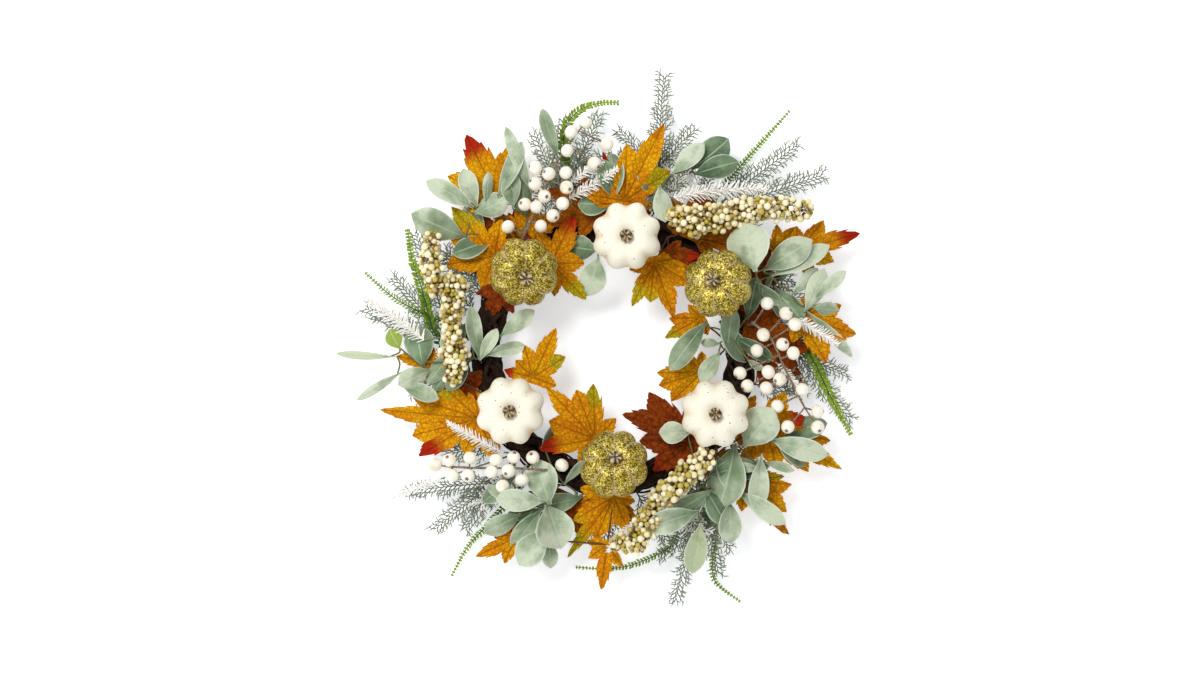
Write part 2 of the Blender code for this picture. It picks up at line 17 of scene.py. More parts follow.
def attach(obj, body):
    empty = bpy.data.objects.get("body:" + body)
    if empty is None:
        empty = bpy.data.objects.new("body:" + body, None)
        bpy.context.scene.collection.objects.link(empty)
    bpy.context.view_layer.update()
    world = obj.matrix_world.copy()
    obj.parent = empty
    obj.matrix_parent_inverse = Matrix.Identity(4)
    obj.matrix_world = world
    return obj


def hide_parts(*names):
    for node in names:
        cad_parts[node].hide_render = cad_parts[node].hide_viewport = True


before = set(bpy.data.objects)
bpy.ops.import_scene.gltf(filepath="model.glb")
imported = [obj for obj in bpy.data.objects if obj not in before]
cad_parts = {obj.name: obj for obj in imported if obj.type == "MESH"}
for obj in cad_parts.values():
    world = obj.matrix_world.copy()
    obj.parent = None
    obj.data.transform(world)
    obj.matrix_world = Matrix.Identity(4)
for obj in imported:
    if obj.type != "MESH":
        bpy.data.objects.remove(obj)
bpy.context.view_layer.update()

bl_info = {
    "name": "Harvest door wreath",
    "version": (1, 0, 0),
    "blender": (4, 5, 0),
    "location": "View3D > Sidebar > Wreath",
    "description": "Builds the looks of a bound vine wreath with leaves, pumpkins, berries and ferns",
    "category": "Object",
}

MM = 0.001
DEPTH_AXIS = Vector((0, 1, 0))

# Ring and layers, as the frame has them
RING_RADIUS = 135.0
LOOP_REACH = 43.0
CENTRE_Z = -(RING_RADIUS + LOOP_REACH)
VINE_RADIUS = 5.5
CORE_RADIUS = 4.5
BACK_VINE_RADIUS = 4.0
WRAP_ORBIT = 11.0
WRAP_COUNT = 3
WRAP_TURNS = 4
RING_STEPS = 320
WAIST_RADIUS = 1.6
BACK_DEPTH = BACK_VINE_RADIUS * math.cos(math.pi / 6)
BUNDLE_RADIUS = WRAP_ORBIT + VINE_RADIUS
BUNDLE_DEPTH = 2 * BACK_DEPTH + 1.0 + BUNDLE_RADIUS
LOOP_WIRE_RADIUS = 0.75
LOOP_HALF_WIDTH = 7.0
EYE_GAP = 0.3                 # between the loop's eye and the rear vine
# Where the rear vine narrows for a wire: (angle, half of the narrow length)
WAISTS = ((120.0, 1.6), (330.0, 1.6), (90.0, 4.95))
PUMPKIN_RADIUS = 36.5
PUMPKIN_HALF_HEIGHT = 25.0
PUMPKIN_DIMPLE = 0.36
PUMPKIN_LOBES = 8
BERRY_RADIUS = 7.4
MAPLE_DEPTH = 44.0
MAPLE_LAYER = 2.6
LAMB_DEPTH = 49.2
LAMB_LAYER = 4.6
PUMPKIN_BACK = LAMB_DEPTH + 2 * LAMB_LAYER
BERRY_DEPTH = PUMPKIN_BACK + 1.0 + BERRY_RADIUS
TWIG_DEPTH = BACK_DEPTH + 2.0
TWIG_LAYER = 5.0
FROND_DEPTH = TWIG_DEPTH + 2 * TWIG_LAYER
SPRIG_DEPTH = FROND_DEPTH + 8.0
SPIKE_DEPTH = BUNDLE_DEPTH + 26.0
LEAST_DEPTH = 1.5             # nearest to the door that a leaf may come

# What fills the ring behind the pieces that the tables place
INNER_FRONDS = 6
FROSTED_SHARE = 0.4
BACK_LEAVES = 2
TENDRILS = 12
TENDRIL_TUCK = 4.5            # how far they dive in beside the hanging loop, so it can swing down
BRANCH_SPACING = 2.5          # along a frond's stem
TWIG_SPACING = 3.0            # along a frond's branch
SPIKE_SPACING = 0.60          # from one needle of a white spike to the next
SPRIG_SPACING = 3.6           # from one pair of green leaflets to the next
GOLDEN_TURN = 2.39996         # radians from one bead or needle to the next, so none line up
FULL_TURN = 6.28              # one turn, near enough for a random start

# Stage, in metres
WALL_GAP = 0.004
WALL_TOP = 3
FLOOR_HEIGHT = -1.3
STAGE_HALF_WIDTH = 4
FLOOR_HALF_LENGTH = 5
ROOM_LIGHT = 0.52
KEY_PLACE = (-0.9, -2.5, 0.9)
KEY_SIZE = 1.1
KEY_POWER = 47
CAMERA_PLACE = (-0.0147, -3.025, -0.1617)
LENS_LENGTH = 85

# name: (angle, offset, heading that the stem leans to, lean in degrees)
PUMPKINS = {
    "white_pumpkin_1": (84, -13, 0, 0),
    "gold_pumpkin_1": (34, -5, 155, 16),
    "white_pumpkin_2": (329, -13, 0, 0),
    "gold_pumpkin_2": (270, -20, 90, 20),
    "white_pumpkin_3": (209, -12, 0, 0),
    "gold_pumpkin_3": (138, -9, 285, 18),
}

# node: (layer, root angle, root offset, leaves). A leaf is (angle, offset, heading, lift, tip tilt,
# side tilt, darkness, lobes), and a lobe is (degrees from the heading, length, tint from -1 yellow-green
# to 1 red).
MAPLE_PICKS = {
    "maple_pick_1": (0, 134, 15, (
        (127, 69, 116, 0, -8, 6, 0.05, ((0, 76, 0.9), (-45, 62, 0.35), (40, 58, 0.1))),
        (141, 26, 131, 1, 6, -8, 0.0, (
            (0, 70, -0.7), (18, 64, -0.2), (58, 52, 0), (117, 37, 0.2), (-50, 40, 0),
        )),
    )),
    "maple_pick_2": (1, 88, 12, (
        (86, 25, 63, 2, 4, 8, 0.0, (
            (0, 92, 0), (25, 60, 0), (-30, 58, -0.9), (62, 40, 0.1), (-75, 30, 0),
        )),
        (89, 27, 106, 0, 0, 30, 0.1, ((0, 53, 1.0), (22, 30, 0.9), (-22, 28, 0.9))),
    )),
    "maple_pick_3": (0, 133, 2, (
        (125, -20, 0, 1, 8, 4, 0.3, (
            (0, 35, 0), (64, 56, 0.8), (-46, 53, -0.8), (112, 36, 0.3), (-85, 35, 0), (-130, 24, 0),
        )),
        (148, 1, 242, 0, -4, 10, 0.8, ((0, 42, 0.3), (45, 32, 0.3), (-45, 32, 0))),
    )),
    "maple_pick_4": (0, 65, 0, (
        (66, -30, 289, 1, 10, -6, 0.25, (
            (0, 62, -0.2), (-46, 53, -0.8), (-25, 43, -0.5), (80, 48, 0.9), (40, 45, 0.3),
        )),
        (62, -13, 309, 0, -6, 12, 0.7, ((0, 38, 0.7), (42, 34, 0.9), (-42, 30, 0.4))),
    )),
    "maple_pick_5": (1, 4, -14, (
        (22, -36, 209, 1, 8, 8, 0.1, ((0, 44, -0.7), (-28, 34, -0.3), (36, 32, 0))),
        (348, -39, 181, 0, 6, -10, 0.15, ((0, 49, -0.3), (16, 49, 0), (42, 46, 0), (-40, 36, 0.2))),
    )),
    "maple_pick_6": (0, 21, 40, (
        (29, 87, 16, 0, -6, 8, 0.0, ((0, 69, 0.9), (34, 42, 0), (-33, 40, 0.2), (80, 26, 0))),
        (33, 66, 44, 1, 4, 14, 0.35, ((0, 34, 0), (40, 26, 0), (-40, 24, 0.2))),
        (11, 64, 343, 1, 6, -8, 0.25, ((0, 62, 0.2), (33, 46, 0), (-43, 56, 0), (78, 30, 0.6))),
    )),
    "maple_pick_7": (0, 322, 20, (
        (334, 42, 331, 1, -4, 8, 0.1, (
            (0, 94, 0), (17, 71, -0.2), (43, 43, 0.9), (-44, 46, 0.1), (-17, 67, 0),
        )),
        (316, 57, 354, 0, -8, -6, 0.25, (
            (0, 50, 0.2), (-32, 56, 0), (-45, 75, 0.1), (10, 42, -0.6), (50, 30, 0),
        )),
        (312, -9, 159, 1, 6, 6, 0.85, (
            (0, 81, 0.1), (-27, 71, 0.3), (57, 53, 0.6), (20, 58, 0.1), (-62, 40, 0),
        )),
    )),
    "maple_pick_8": (0, 260, 0, (
        (258, -42, 133, 2, 8, 6, 0.1, (
            (0, 77, 0), (-22, 56, 0), (-41, 59, -0.8), (-88, 31, 0), (25, 53, 0.2), (56, 61, 0.9),
            (100, 30, 0.3),
        )),
        (270, 16, 233, 0, -4, -8, 0.1, (
            (0, 82, -0.8), (-22, 50, -0.3), (114, 23, 0), (14, 52, 0), (60, 40, 0),
        )),
        (268, 67, 262, 0, -6, 10, 0.15, ((0, 49, 0.1), (-46, 25, 0), (44, 28, 0), (83, 16, 0))),
        (242, 85, 206, 0, -6, 6, 0.2, ((0, 48, 0.3), (40, 30, 0.1), (-40, 28, 0.2))),
    )),
    "maple_pick_9": (0, 199, 6, (
        (197, -46, 65, 2, 8, -6, 0.15, (
            (0, 58, 0.1), (-32, 41, -0.8), (40, 36, 0), (100, 32, 0.9), (-84, 26, 0), (70, 26, 0.3),
        )),
        (206, 23, 175, 0, -5, 8, 0.0, (
            (0, 106, 0.1), (-13, 74, 0), (-37, 65, -0.9), (19, 73, 0), (37, 75, 0.95), (72, 40, 0.4),
            (-75, 36, -0.3),
        )),
        (183, 58, 170, 0, -4, 10, 0.2, ((0, 38, 0.2), (42, 26, 0), (-42, 26, 0))),
    )),
}

# node: (layer, root angle, root offset, leaves). A leaf is (angle, offset, heading, length, width, tone,
# lift). Its tone goes from 0 pale to 1 dark, and below 0 the leaf is yellow-green. On the leaves set
# back, the dark tones are partly their own colour and partly painted shade.
LAMB_SPRIGS = {
    "lambs_ear_sprig_1": (0, 126, 25, (
        (142, 63, 157, 58, 28, 0.4, 0), (134, 77, 150, 55, 18, 0.2, 2), (133, 75, 110, 40, 17, 0.15, 3),
        (131, 70, 85, 34, 9, 0.3, 1), (135, 72, 24, 37, 23, 0.3, 2), (117, 54, 112, 72, 13, 0.35, 0),
        (106, 78, 108, 52, 13, 0.45, -2), (127, 68, 67, 63, 16, 0.35, 3), (125, 50, 92, 40, 16, 0.4, 1),
    )),
    "lambs_ear_sprig_2": (1, 78, 20, (
        (72, 62, 44, 45, 18, 0.2, 3), (67, 75, 40, 49, 27, 0.95, -6), (66, 70, 16, 47, 22, 0.85, -3),
        (75, 47, 279, 38, 18, 0.1, 12), (91, 20, 176, 34, 22, 0.75, -6), (99, -26, 172, 32, 24, 0.6, -5),
        (99, -33, 253, 41, 26, 0.25, 1),
    )),
    "lambs_ear_sprig_3": (0, 18, 30, (
        (30, 34, 102, 51, 38, 0.1, 42), (29, 43, 32, 58, 26, 0.3, 16), (26, 48, 28, 67, 18, 0.2, 9),
        (18, 61, 46, 38, 13, 0.15, 5), (12, 70, 66, 48, 19, 0.15, 2), (27, 29, 321, 38, 10, 0.6, 8),
        (15, 82, 43, 42, 12, 0.25, 3), (13, 79, 353, 27, 14, 0.3, 4), (12, 72, 316, 65, 10, 0.35, 2),
    )),
    "lambs_ear_sprig_4": (1, 8, -12, (
        (19, -32, 233, 62, 21, 0.55, 1), (17, -19, 303, 50, 19, 0.8, -4), (5, -23, 177, 20, 9, 0.4, 0),
        (1, -24, 238, 37, 17, 0.3, 2), (357, 5, 329, 18, 7, 0.4, 2),
    )),
    "lambs_ear_sprig_5": (0, 323, 32, (
        (324, 32, 53, 49, 35, 0.25, 14), (331, 51, 344, 61, 21, 0.2, 10), (323, 24, 256, 66, 34, 0.5, 3),
        (322, 62, 175, 35, 10, 0.25, 8), (325, 53, 265, 55, 19, 0.15, 9), (324, 60, 344, 31, 9, 0.3, 4),
        (312, 60, 325, 57, 17, 0.25, 2), (308, 62, 271, 43, 22, 0.35, 1),
    )),
    "lambs_ear_sprig_6": (1, 302, 28, (
        (298, 53, 197, 54, 23, 0.3, 2), (306, 42, 210, 57, 17, 0.5, -2), (297, 65, 259, 50, 21, -0.4, 4),
        (314, -19, 180, 32, 20, 0.3, 0),
    )),
    "lambs_ear_sprig_7": (0, 245, 25, (
        (247, 37, 106, 47, 29, 0.3, 15), (245, 36, 176, 49, 21, 0.15, 12), (245, 44, 160, 60, 13, 0.5, 4),
        (240, 60, 207, 42, 19, 0.4, 5), (245, 46, 233, 49, 18, 0.45, 3), (246, 38, 288, 47, 35, 0.25, 9),
        (249, 63, 233, 45, 27, 0.3, 2), (251, 73, 272, 29, 15, 0.35, 0), (249, 12, 47, 34, 8, 0.3, 6),
        (233, -7, 40, 41, 21, 0.75, 1),
    )),
    "lambs_ear_sprig_8": (0, 182, 12, (
        (183, 6, 99, 55, 14, 0.4, 2), (183, 6, 60, 36, 12, 0.1, 6), (172, -14, 38, 44, 16, 0.3, 2),
        (181, -1, 15, 40, 13, 0.25, 4), (184, 66, 100, 42, 28, 0.65, 2), (179, 90, 118, 23, 17, -1.0, -3),
        (181, 93, 177, 63, 8, -0.3, 0), (185, 88, 212, 55, 9, 0.2, 2), (185, 59, 207, 35, 20, 0.2, 5),
        (188, 92, 338, 42, 15, 0.35, 2),
    )),
}

# node: (places of the stem, places of the berries), each place (angle, offset)
BERRY_SPRAYS = {
    "berry_spray_1": (((128, 18), (116, 42), (107, 72), (99, 100)), (
        (97, 108), (101, 100), (92, 83), (103, 82), (96, 64), (113, 75), (105, 60), (110, 64), (115, 60),
        (106, 45), (114, 44), (121, 46), (118, 38), (109, 30), (114, 22), (120, 18), (130, 37),
    )),
    "berry_spray_2": (((12, 14), (5, 30), (356, 42), (344, 72)), (
        (18, 33), (13, 49), (9, 56), (7, 22), (3, 41), (0, 52), (1, 14), (351, -2), (353, 27), (351, 40),
        (346, 8), (347, 28), (349, 65), (342, 44), (344, 86), (337, 62), (340, 91),
    )),
    "berry_spray_3": (((242, 4), (230, 22), (221, 48), (215, 72)), (
        (212, 85), (213, 70), (216, 51), (217, 77), (220, 64), (222, 31), (224, 43), (228, 30), (226, 16),
        (232, 3), (230, 46), (245, -6), (234, 29),
    )),
}

# node: clumps of seeds along the stem, each (angle, offset, radius)
SEED_SPRAYS = {
    "seed_spray_1": (
        (65, 22, 11), (58, 26, 15), (52, 45, 13), (47, 68, 13), (42, 91, 12), (37, 112, 10),
    ),
    "seed_spray_2": (
        (188, 34, 9), (181, 31, 14), (173, 34, 9), (166, 40, 11), (157, 44, 11), (159, 63, 12),
        (153, 80, 11), (148, 88, 9),
    ),
    "seed_spray_3": (
        (311, 9, 10), (301, 12, 13), (293, 19, 13), (286, 28, 11), (281, 43, 12), (277, 63, 12),
        (271, 64, 8),
    ),
}

# Kinds of bead: (draws below this give it, sizes, tones, how far out it sits, share of gold ones)
# The smallest beads sit deepest and take the darkest tones: partly their own tan, partly painted shade in
# the gaps
BEADS = (
    (0.34, (3.0, 3.9), (0.0, 0.25), 1.04, 0.16),
    (0.70, (2.1, 2.9), (0.1, 0.6), 0.93, 0.16),
    (1.00, (1.5, 2.2), (0.5, 1.0), 0.86, 0.45),
)

# node: (root angle, fronds, sprigs, spikes). A frond is (angle, offset, heading, length, width), a sprig
# is the places along it and a spike is (angle, offset, heading, length, radius).
FERN_SPRAYS = {
    "fern_spray_1": (78, (
        (76, 60, 89, 110, 16), (78, 62, 125, 58, 12), (76, 70, 52, 54, 12),
    ), (), ()),
    "fern_spray_2": (105, (
        (103, 60, 66, 72, 14), (109, 60, 116, 54, 12), (107, 60, 90, 64, 12),
    ), (
        ((104, 80), (102, 109), (98, 125), (93, 130), (89, 130)),
    ), (
        (106, 34, 27, 59, 6), (104, 50, 37, 38, 5),
    )),
    "fern_spray_3": (58, (
        (52, 60, 20, 112, 22), (53, 80, 36, 84, 14),
    ), (), (
        (69, 40, 10, 96, 9),
    )),
    "fern_spray_4": (172, (
        (175, 65, 150, 72, 14), (170, 60, 134, 66, 12), (163, 60, 112, 76, 12),
    ), (
        ((176, 50), (161, 81), (155, 101), (149, 120)), ((169, 60), (166, 104), (162, 143)),
    ), (
        (176, 65, 140, 77, 10),
    )),
    "fern_spray_5": (3, (
        (0, 60, 332, 60, 12), (0, 60, 304, 94, 16),
    ), (
        ((7, 54), (358, 76), (349, 98), (341, 130)),
    ), (
        (11, 56, 335, 54, 6), (356, 38, 306, 32, 5),
    )),
    "fern_spray_6": (226, (
        (228, 50, 183, 100, 14), (228, 50, 212, 86, 14), (228, 50, 237, 62, 14),
    ), (), (
        (222, 21, 155, 66, 6), (216, 90, 197, 56, 4),
    )),
    "fern_spray_7": (296, (
        (299, 60, 248, 102, 14), (299, 70, 210, 62, 12), (299, 70, 306, 38, 10), (299, 70, 287, 56, 12),
    ), (), (
        (276, 46, 226, 38, 5),
    )),
}

# node: (layer, places along it)
GREEN_TWIGS = {
    "green_twig_1": (0, ((59, 14), (57, 60), (56, 100), (54, 183))),
    "green_twig_2": (0, ((297, 14), (292, 50), (287, 78), (277, 90), (269, 95), (260, 97))),
    "green_twig_3": (1, ((304, 14), (301, 74), (295, 113), (294, 133), (297, 162))),
    "green_twig_4": (0, ((236, 14), (234, 86), (233, 122), (234, 159))),
}

# Half of a lamb's ear leaf: (share of its length, share of its half width)
LAMB_OUTLINE = (
    (0.0, 0.10), (0.08, 0.14), (0.18, 0.42), (0.32, 0.74), (0.48, 0.94), (0.62, 1.0), (0.76, 0.93),
    (0.88, 0.70), (0.96, 0.40), (1.0, 0.06),
)
# One side of a maple lobe, from its notch: (share of the half angle, share of the way from notch to tip)
LOBE_SIDE = ((0.88, 0.20), (0.70, 0.40), (0.62, 0.34), (0.44, 0.66), (0.36, 0.60), (0.17, 0.86))
# Rings of a maple leaf, as shares of the way from its middle to its edge
LEAF_RINGS = (0.12, 0.27, 0.42, 0.57, 0.71, 0.84, 0.93, 1.0)
# Outline of a pumpkin's stalk: (height over the dimple, radius, how deep the ridges are)
STALK_PROFILE = (
    (-2.0, 7.9, 0.07), (0.0, 7.6, 0.09), (1.6, 6.9, 0.10), (4.0, 6.3, 0.11), (7.0, 6.1, 0.11),
    (9.2, 6.4, 0.12), (10.2, 6.2, 0.13), (10.7, 5.2, 0.14), (10.2, 3.6, 0.16), (9.0, 1.7, 0.2),
)
STALK_TOP = 10.7


def painted(red, green, blue):
    """A colour given as it looks, turned into the light that a shader mixes."""
    return tuple(value ** 2.2 for value in (red, green, blue))


def eased(low, high, value):
    """0 up to low, 1 from high, and a smooth step between."""
    share = min(max((value - low) / (high - low), 0.0), 1.0)
    return share * share * (3 - 2 * share)


def at(angle, offset, depth):
    """The point at a place on the wreath."""
    turn = math.radians(angle)
    reach = RING_RADIUS + offset
    return Vector((reach * math.cos(turn), -depth, CENTRE_Z + reach * math.sin(turn))) * MM


def direction(heading):
    """The way that a heading points, flat against the door."""
    turn = math.radians(heading)
    return Vector((math.cos(turn), 0, math.sin(turn)))


def pumpkin_axis(name):
    """Where a pumpkin's middle is, and the way that its stem points."""
    angle, offset, lean_heading, lean = PUMPKINS[name]
    lean = math.radians(lean)
    out = direction(lean_heading) * math.sin(lean) - DEPTH_AXIS * math.cos(lean)
    reach = math.hypot(PUMPKIN_HALF_HEIGHT * math.cos(lean), PUMPKIN_RADIUS * math.sin(lean))
    return at(angle, offset, PUMPKIN_BACK + reach), out


def clear_of_pumpkins(point, radius):
    """The point, moved sideways until a ball of this radius misses every pumpkin."""
    room = (PUMPKIN_RADIUS + radius + 1.0) * MM
    for name in PUMPKINS:
        middle, _ = pumpkin_axis(name)
        away = Vector((point.x - middle.x, 0, point.z - middle.z))
        if away.length < room:
            point = point + away.normalized() * (room - away.length)
    return point


def curve_through(points, steps, closed=False):
    """A smooth line through the points, with so many steps between each two."""
    count = len(points)
    line = []
    for i in range(count if closed else count - 1):
        before, start, end, after = (
            points[k % count] if closed else points[min(max(k, 0), count - 1)] for k in range(i - 1, i + 3)
        )
        for k in range(steps):
            t = k / steps
            line.append(0.5 * (
                2 * start + (end - before) * t + (2 * before - 5 * start + 4 * end - after) * t * t
                + (3 * start - before - 3 * end + after) * t * t * t
            ))
    return line if closed else [*line, points[-1].copy()]


def into_vines(angle, offset):
    """Where a stem that starts here comes out of the vines."""
    return [
        at(angle, min(offset, VINE_RADIUS), BUNDLE_DEPTH + WRAP_ORBIT),
        at(angle, offset, BUNDLE_DEPTH + BUNDLE_RADIUS + WRAP_ORBIT),
    ]


def nearest_on(points, target):
    """The closest place on a line through the points."""
    best = None
    for start, end in zip(points, points[1:]):
        run = end - start
        share = min(max((target - start).dot(run) / run.dot(run), 0), 1)
        spot = start + run * share
        if best is None or (target - spot).length < (target - best).length:
            best = spot
    return best


class Shape:
    """The points and faces of one piece.

    Each point tells its finish two things: blade is where it is on its leaf, bead or stem, and hue is
    how it is coloured.
    """

    def __init__(self):
        self.points = []
        self.faces = []
        self.blade = []
        self.hue = []

    def point(self, place, blade=(0, 0, 0), hue=(0, 0, 0)):
        """Adds a point, kept in front of the door, and returns its number."""
        self.points.append((place.x, min(place.y, -LEAST_DEPTH * MM * 0.2), place.z))
        self.blade.append(blade)
        self.hue.append(hue)
        return len(self.points) - 1

    def tube(self, line, radii, sides, closed=False, hue=(0, 0, 0), rough=0.0, out=(0.0, 1.0)):
        """A round bar along the line, in millimetres of radius, with each end drawn shut."""
        count = len(line)
        rings = []
        travelled = 0.0
        total = sum((b - a).length for a, b in zip(line, line[1:])) or 1.0
        start = (line[1] - line[0]).normalized()
        reference = DEPTH_AXIS if closed or abs(start.y) < 0.8 else Vector((1, 0, 0))
        for i, point in enumerate(line):
            before = line[i - 1] if closed or i else point
            after = line[(i + 1) % count] if closed or i < count - 1 else point
            along = (after - before).normalized()
            side = along.cross(reference).normalized()
            up = side.cross(along)
            if i:
                travelled += (point - line[i - 1]).length
            share = out[0] + (out[1] - out[0]) * travelled / total
            ring = []
            for k in range(sides):
                turn = 2 * math.pi * k / sides
                away = side * math.cos(turn) + up * math.sin(turn)
                radius = radii[i] * MM
                if rough:
                    radius *= 1 + rough * noise.noise((point + away * radius) * 160)
                ring.append(self.point(point + away * radius, (turn, travelled / MM, share), hue))
            rings.append(ring)
        pairs = list(zip(rings, rings[1:]))
        if closed:
            pairs.append((rings[-1], rings[0]))
        else:
            self.faces.append(tuple(rings[0]))
            self.faces.append(tuple(reversed(rings[-1])))
        for first, second in pairs:
            for k in range(sides):
                self.faces.append((first[k], first[k - 1], second[k - 1], second[k]))

    def rod(self, line, radius, sides, **kind):
        """A tube that is as thick all along."""
        self.tube(line, [radius] * len(line), sides, **kind)

    def needle(self, start, end, radius, tip, hue=(0, 0, 0), out=(0.0, 1.0)):
        """A straight three-sided bar, as thick at its end as tip says."""
        self.tube([start, end], [radius, radius * tip], 3, hue=hue, out=out)

    def leaflet(self, start, end, across, width, thick, hue):
        """A small closed blade from start to end, widest a little past its middle."""
        middle = start.lerp(end, 0.55)
        face = (end - start).cross(across).normalized() * thick * MM
        side = across * width * MM
        base = self.point(start, (0, 0, 0), hue)
        tip = self.point(end, (0, 0, 1), hue)
        ring = [self.point(middle + way, (0, 0, 0.5), hue) for way in (side, face, -side, -face)]
        for k in range(4):
            self.faces.append((base, ring[k - 1], ring[k]))
            self.faces.append((tip, ring[k], ring[k - 1]))

    def ball(self, centre, radius, template, hue, stretch=None):
        """A copy of a ready-made ball. Stretch, if given, turns a unit point into a shaped one."""
        first = len(self.points)
        for corner in template[0]:
            shaped = stretch(corner) if stretch else corner
            self.point(centre + shaped * radius * MM, tuple(corner), hue)
        self.faces.extend(tuple(first + k for k in face) for face in template[1])

    def join(self, rings):
        """Faces between closed rings of points."""
        for first, second in zip(rings, rings[1:]):
            for k in range(max(len(first), len(second))):
                if len(first) == 1:
                    self.faces.append((first[0], second[k], second[k - 1]))
                elif len(second) == 1:
                    self.faces.append((first[k - 1], first[k], second[0]))
                else:
                    self.faces.append((first[k - 1], first[k], second[k], second[k - 1]))

    def made(self, name, finish, slot, body="root", stands_for=(), thick=0.0, sharp=50):
        """The finished piece, riding on its body."""
        mesh = bpy.data.meshes.new(name)
        mesh.from_pydata(self.points, [], self.faces)
        for title, values in (("blade", self.blade), ("hue", self.hue)):
            store = mesh.attributes.new(title, "FLOAT_VECTOR", "POINT")
            store.data.foreach_set("vector", [number for value in values for number in value])
        mesh.materials.append(finish)
        made = in_scene(name, mesh)
        if thick:
            step = made.modifiers.new("Thickness", "SOLIDIFY")
            step.thickness = thick
            step.offset = -1
            bpy.context.view_layer.update()
            graph = bpy.context.evaluated_depsgraph_get()
            made.data = bpy.data.meshes.new_from_object(made.evaluated_get(graph))
            made.data.name = name
            made.modifiers.clear()
            bpy.data.meshes.remove(mesh)
        made.data.shade_smooth()
        made.data.set_sharp_from_angle(angle=math.radians(sharp))
        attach(made, body)
        if stands_for:
            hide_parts(*stands_for)


def in_scene(name, data):
    """A new object with this mesh, lamp or lens."""
    made = bpy.data.objects.new(name, data)
    bpy.context.scene.collection.objects.link(made)
    return made


def ball_template(subdivisions):
    """The points and faces of a ball of radius 1."""
    shape = bmesh.new()
    bmesh.ops.create_icosphere(shape, subdivisions=subdivisions, radius=1.0)
    points = [vertex.co.copy() for vertex in shape.verts]
    faces = [tuple(vertex.index for vertex in face.verts) for face in shape.faces]
    shape.free()
    return points, faces


class Wire:
    """A socket of a finish. Arithmetic on it adds Math nodes."""

    def __init__(self, finish, socket):
        self.finish = finish
        self.socket = socket

    def maths(self, operation, first, second=0.0):
        """One Math node."""
        return self.finish.add("ShaderNodeMath", {"operation": operation}, {0: first, 1: second})

    def __add__(self, other):
        return self.maths("ADD", self, other)

    __radd__ = __add__

    def __sub__(self, other):
        return self.maths("SUBTRACT", self, other)

    def __rsub__(self, other):
        return self.maths("SUBTRACT", other, self)

    def __mul__(self, other):
        return self.maths("MULTIPLY", self, other)

    __rmul__ = __mul__

    def __truediv__(self, other):
        return self.maths("DIVIDE", self, other)

    def __mod__(self, other):
        return self.maths("FLOORED_MODULO", self, other)

    def __abs__(self):
        return self.maths("ABSOLUTE", self)

    def most(self, other):
        """The larger of the two."""
        return self.maths("MAXIMUM", self, other)

    def between(self, low, high):
        """0 up to low, 1 from high, and a smooth step between."""
        settings = {"interpolation_type": "SMOOTHSTEP"}
        return self.finish.add("ShaderNodeMapRange", settings, {0: self, 1: low, 2: high})


class Finish:
    """A procedural material. Constants go on the shader's own sockets."""

    def __init__(self, name, **constants):
        self.material = bpy.data.materials.new(name)
        self.material.use_nodes = True
        self.tree = self.material.node_tree
        self.shader = self.tree.nodes["Principled BSDF"]
        for title, value in constants.items():
            self.shader.inputs[title.replace("_", " ")].default_value = value

    def add(self, kind, settings, sockets, output=0):
        """A node of this kind, with its settings, then the values or links of its sockets."""
        node = self.tree.nodes.new(kind)
        for title, value in settings.items():
            if title == "stops":
                ramp = node.color_ramp.elements
                while len(ramp) < len(value):
                    ramp.new(0.5)
                for stop, (position, colour) in zip(ramp, value):
                    stop.position = position
                    stop.color = (*colour, 1)
            else:
                setattr(node, title, value)
        for key, value in sockets.items():
            if isinstance(value, Wire):
                self.tree.links.new(value.socket, node.inputs[key])
            elif node.inputs[key].type == "RGBA":
                node.inputs[key].default_value = (*value[:3], 1)
            else:
                node.inputs[key].default_value = value
        return Wire(self, node.outputs[output])

    def place(self):
        """Where a spot is on its piece."""
        return self.add("ShaderNodeTexCoord", {}, {}, "Object")

    def parts_of(self, attribute):
        """The three numbers of a point attribute."""
        whole = self.add("ShaderNodeAttribute", {"attribute_name": attribute}, {}, "Vector")
        first = self.add("ShaderNodeSeparateXYZ", {}, {0: whole})
        node = first.socket.node
        return first, Wire(self, node.outputs[1]), Wire(self, node.outputs[2])

    def grain(self, scale, detail=3.0, roughness=0.55):
        """Soft noise between 0 and 1."""
        sockets = {"Vector": self.place(), "Scale": scale, "Detail": detail, "Roughness": roughness}
        return self.add("ShaderNodeTexNoise", {}, sockets)

    def cells(self, scale, feature="F1", output="Distance"):
        """A pattern of cells, with 0 at a cell's middle, or at its edge if the feature says so."""
        sockets = {"Vector": self.place(), "Scale": scale}
        return self.add("ShaderNodeTexVoronoi", {"feature": feature}, sockets, output)

    def mix(self, share, first, second):
        """The first colour at a share of 0, the second at 1."""
        return self.add("ShaderNodeMix", {"data_type": "RGBA"}, {0: share, 6: first, 7: second}, 2)

    def ramp(self, value, *stops):
        """A colour from stops of (value, colour)."""
        return self.add("ShaderNodeValToRGB", {"stops": stops}, {0: value})

    def finished(self, colour, roughness=None, height=None, depth=0.0003, strength=0.6, metallic=None):
        """Links what varies over the surface, and returns the material."""
        links = {"Base Color": colour, "Roughness": roughness, "Metallic": metallic}
        if height is not None:
            sockets = {"Strength": strength, "Distance": depth, "Height": height}
            links["Normal"] = self.add("ShaderNodeBump", {}, sockets)
        for title, wire in links.items():
            if wire is not None:
                self.tree.links.new(wire.socket, self.shader.inputs[title])
        return self.material


def bark_finish(paint):
    """Dark stripped vine, with paler streaks where the bark is torn."""
    finish = Finish("vine_bark", Specular_IOR_Level=0.25)
    streak = finish.grain(220, 5.0, 0.7)
    patch = finish.grain(45, 2.0)
    colour = finish.ramp(
        streak * 0.7 + patch * 0.3,
        (0.30, painted(0.07, 0.04, 0.03)), (0.50, paint.bark), (0.64, painted(0.27, 0.17, 0.11)),
        (0.80, painted(0.46, 0.34, 0.25)),
    )
    return finish.finished(colour, 0.72 + streak * 0.25, streak + patch * 0.4, 0.0012, 0.9)


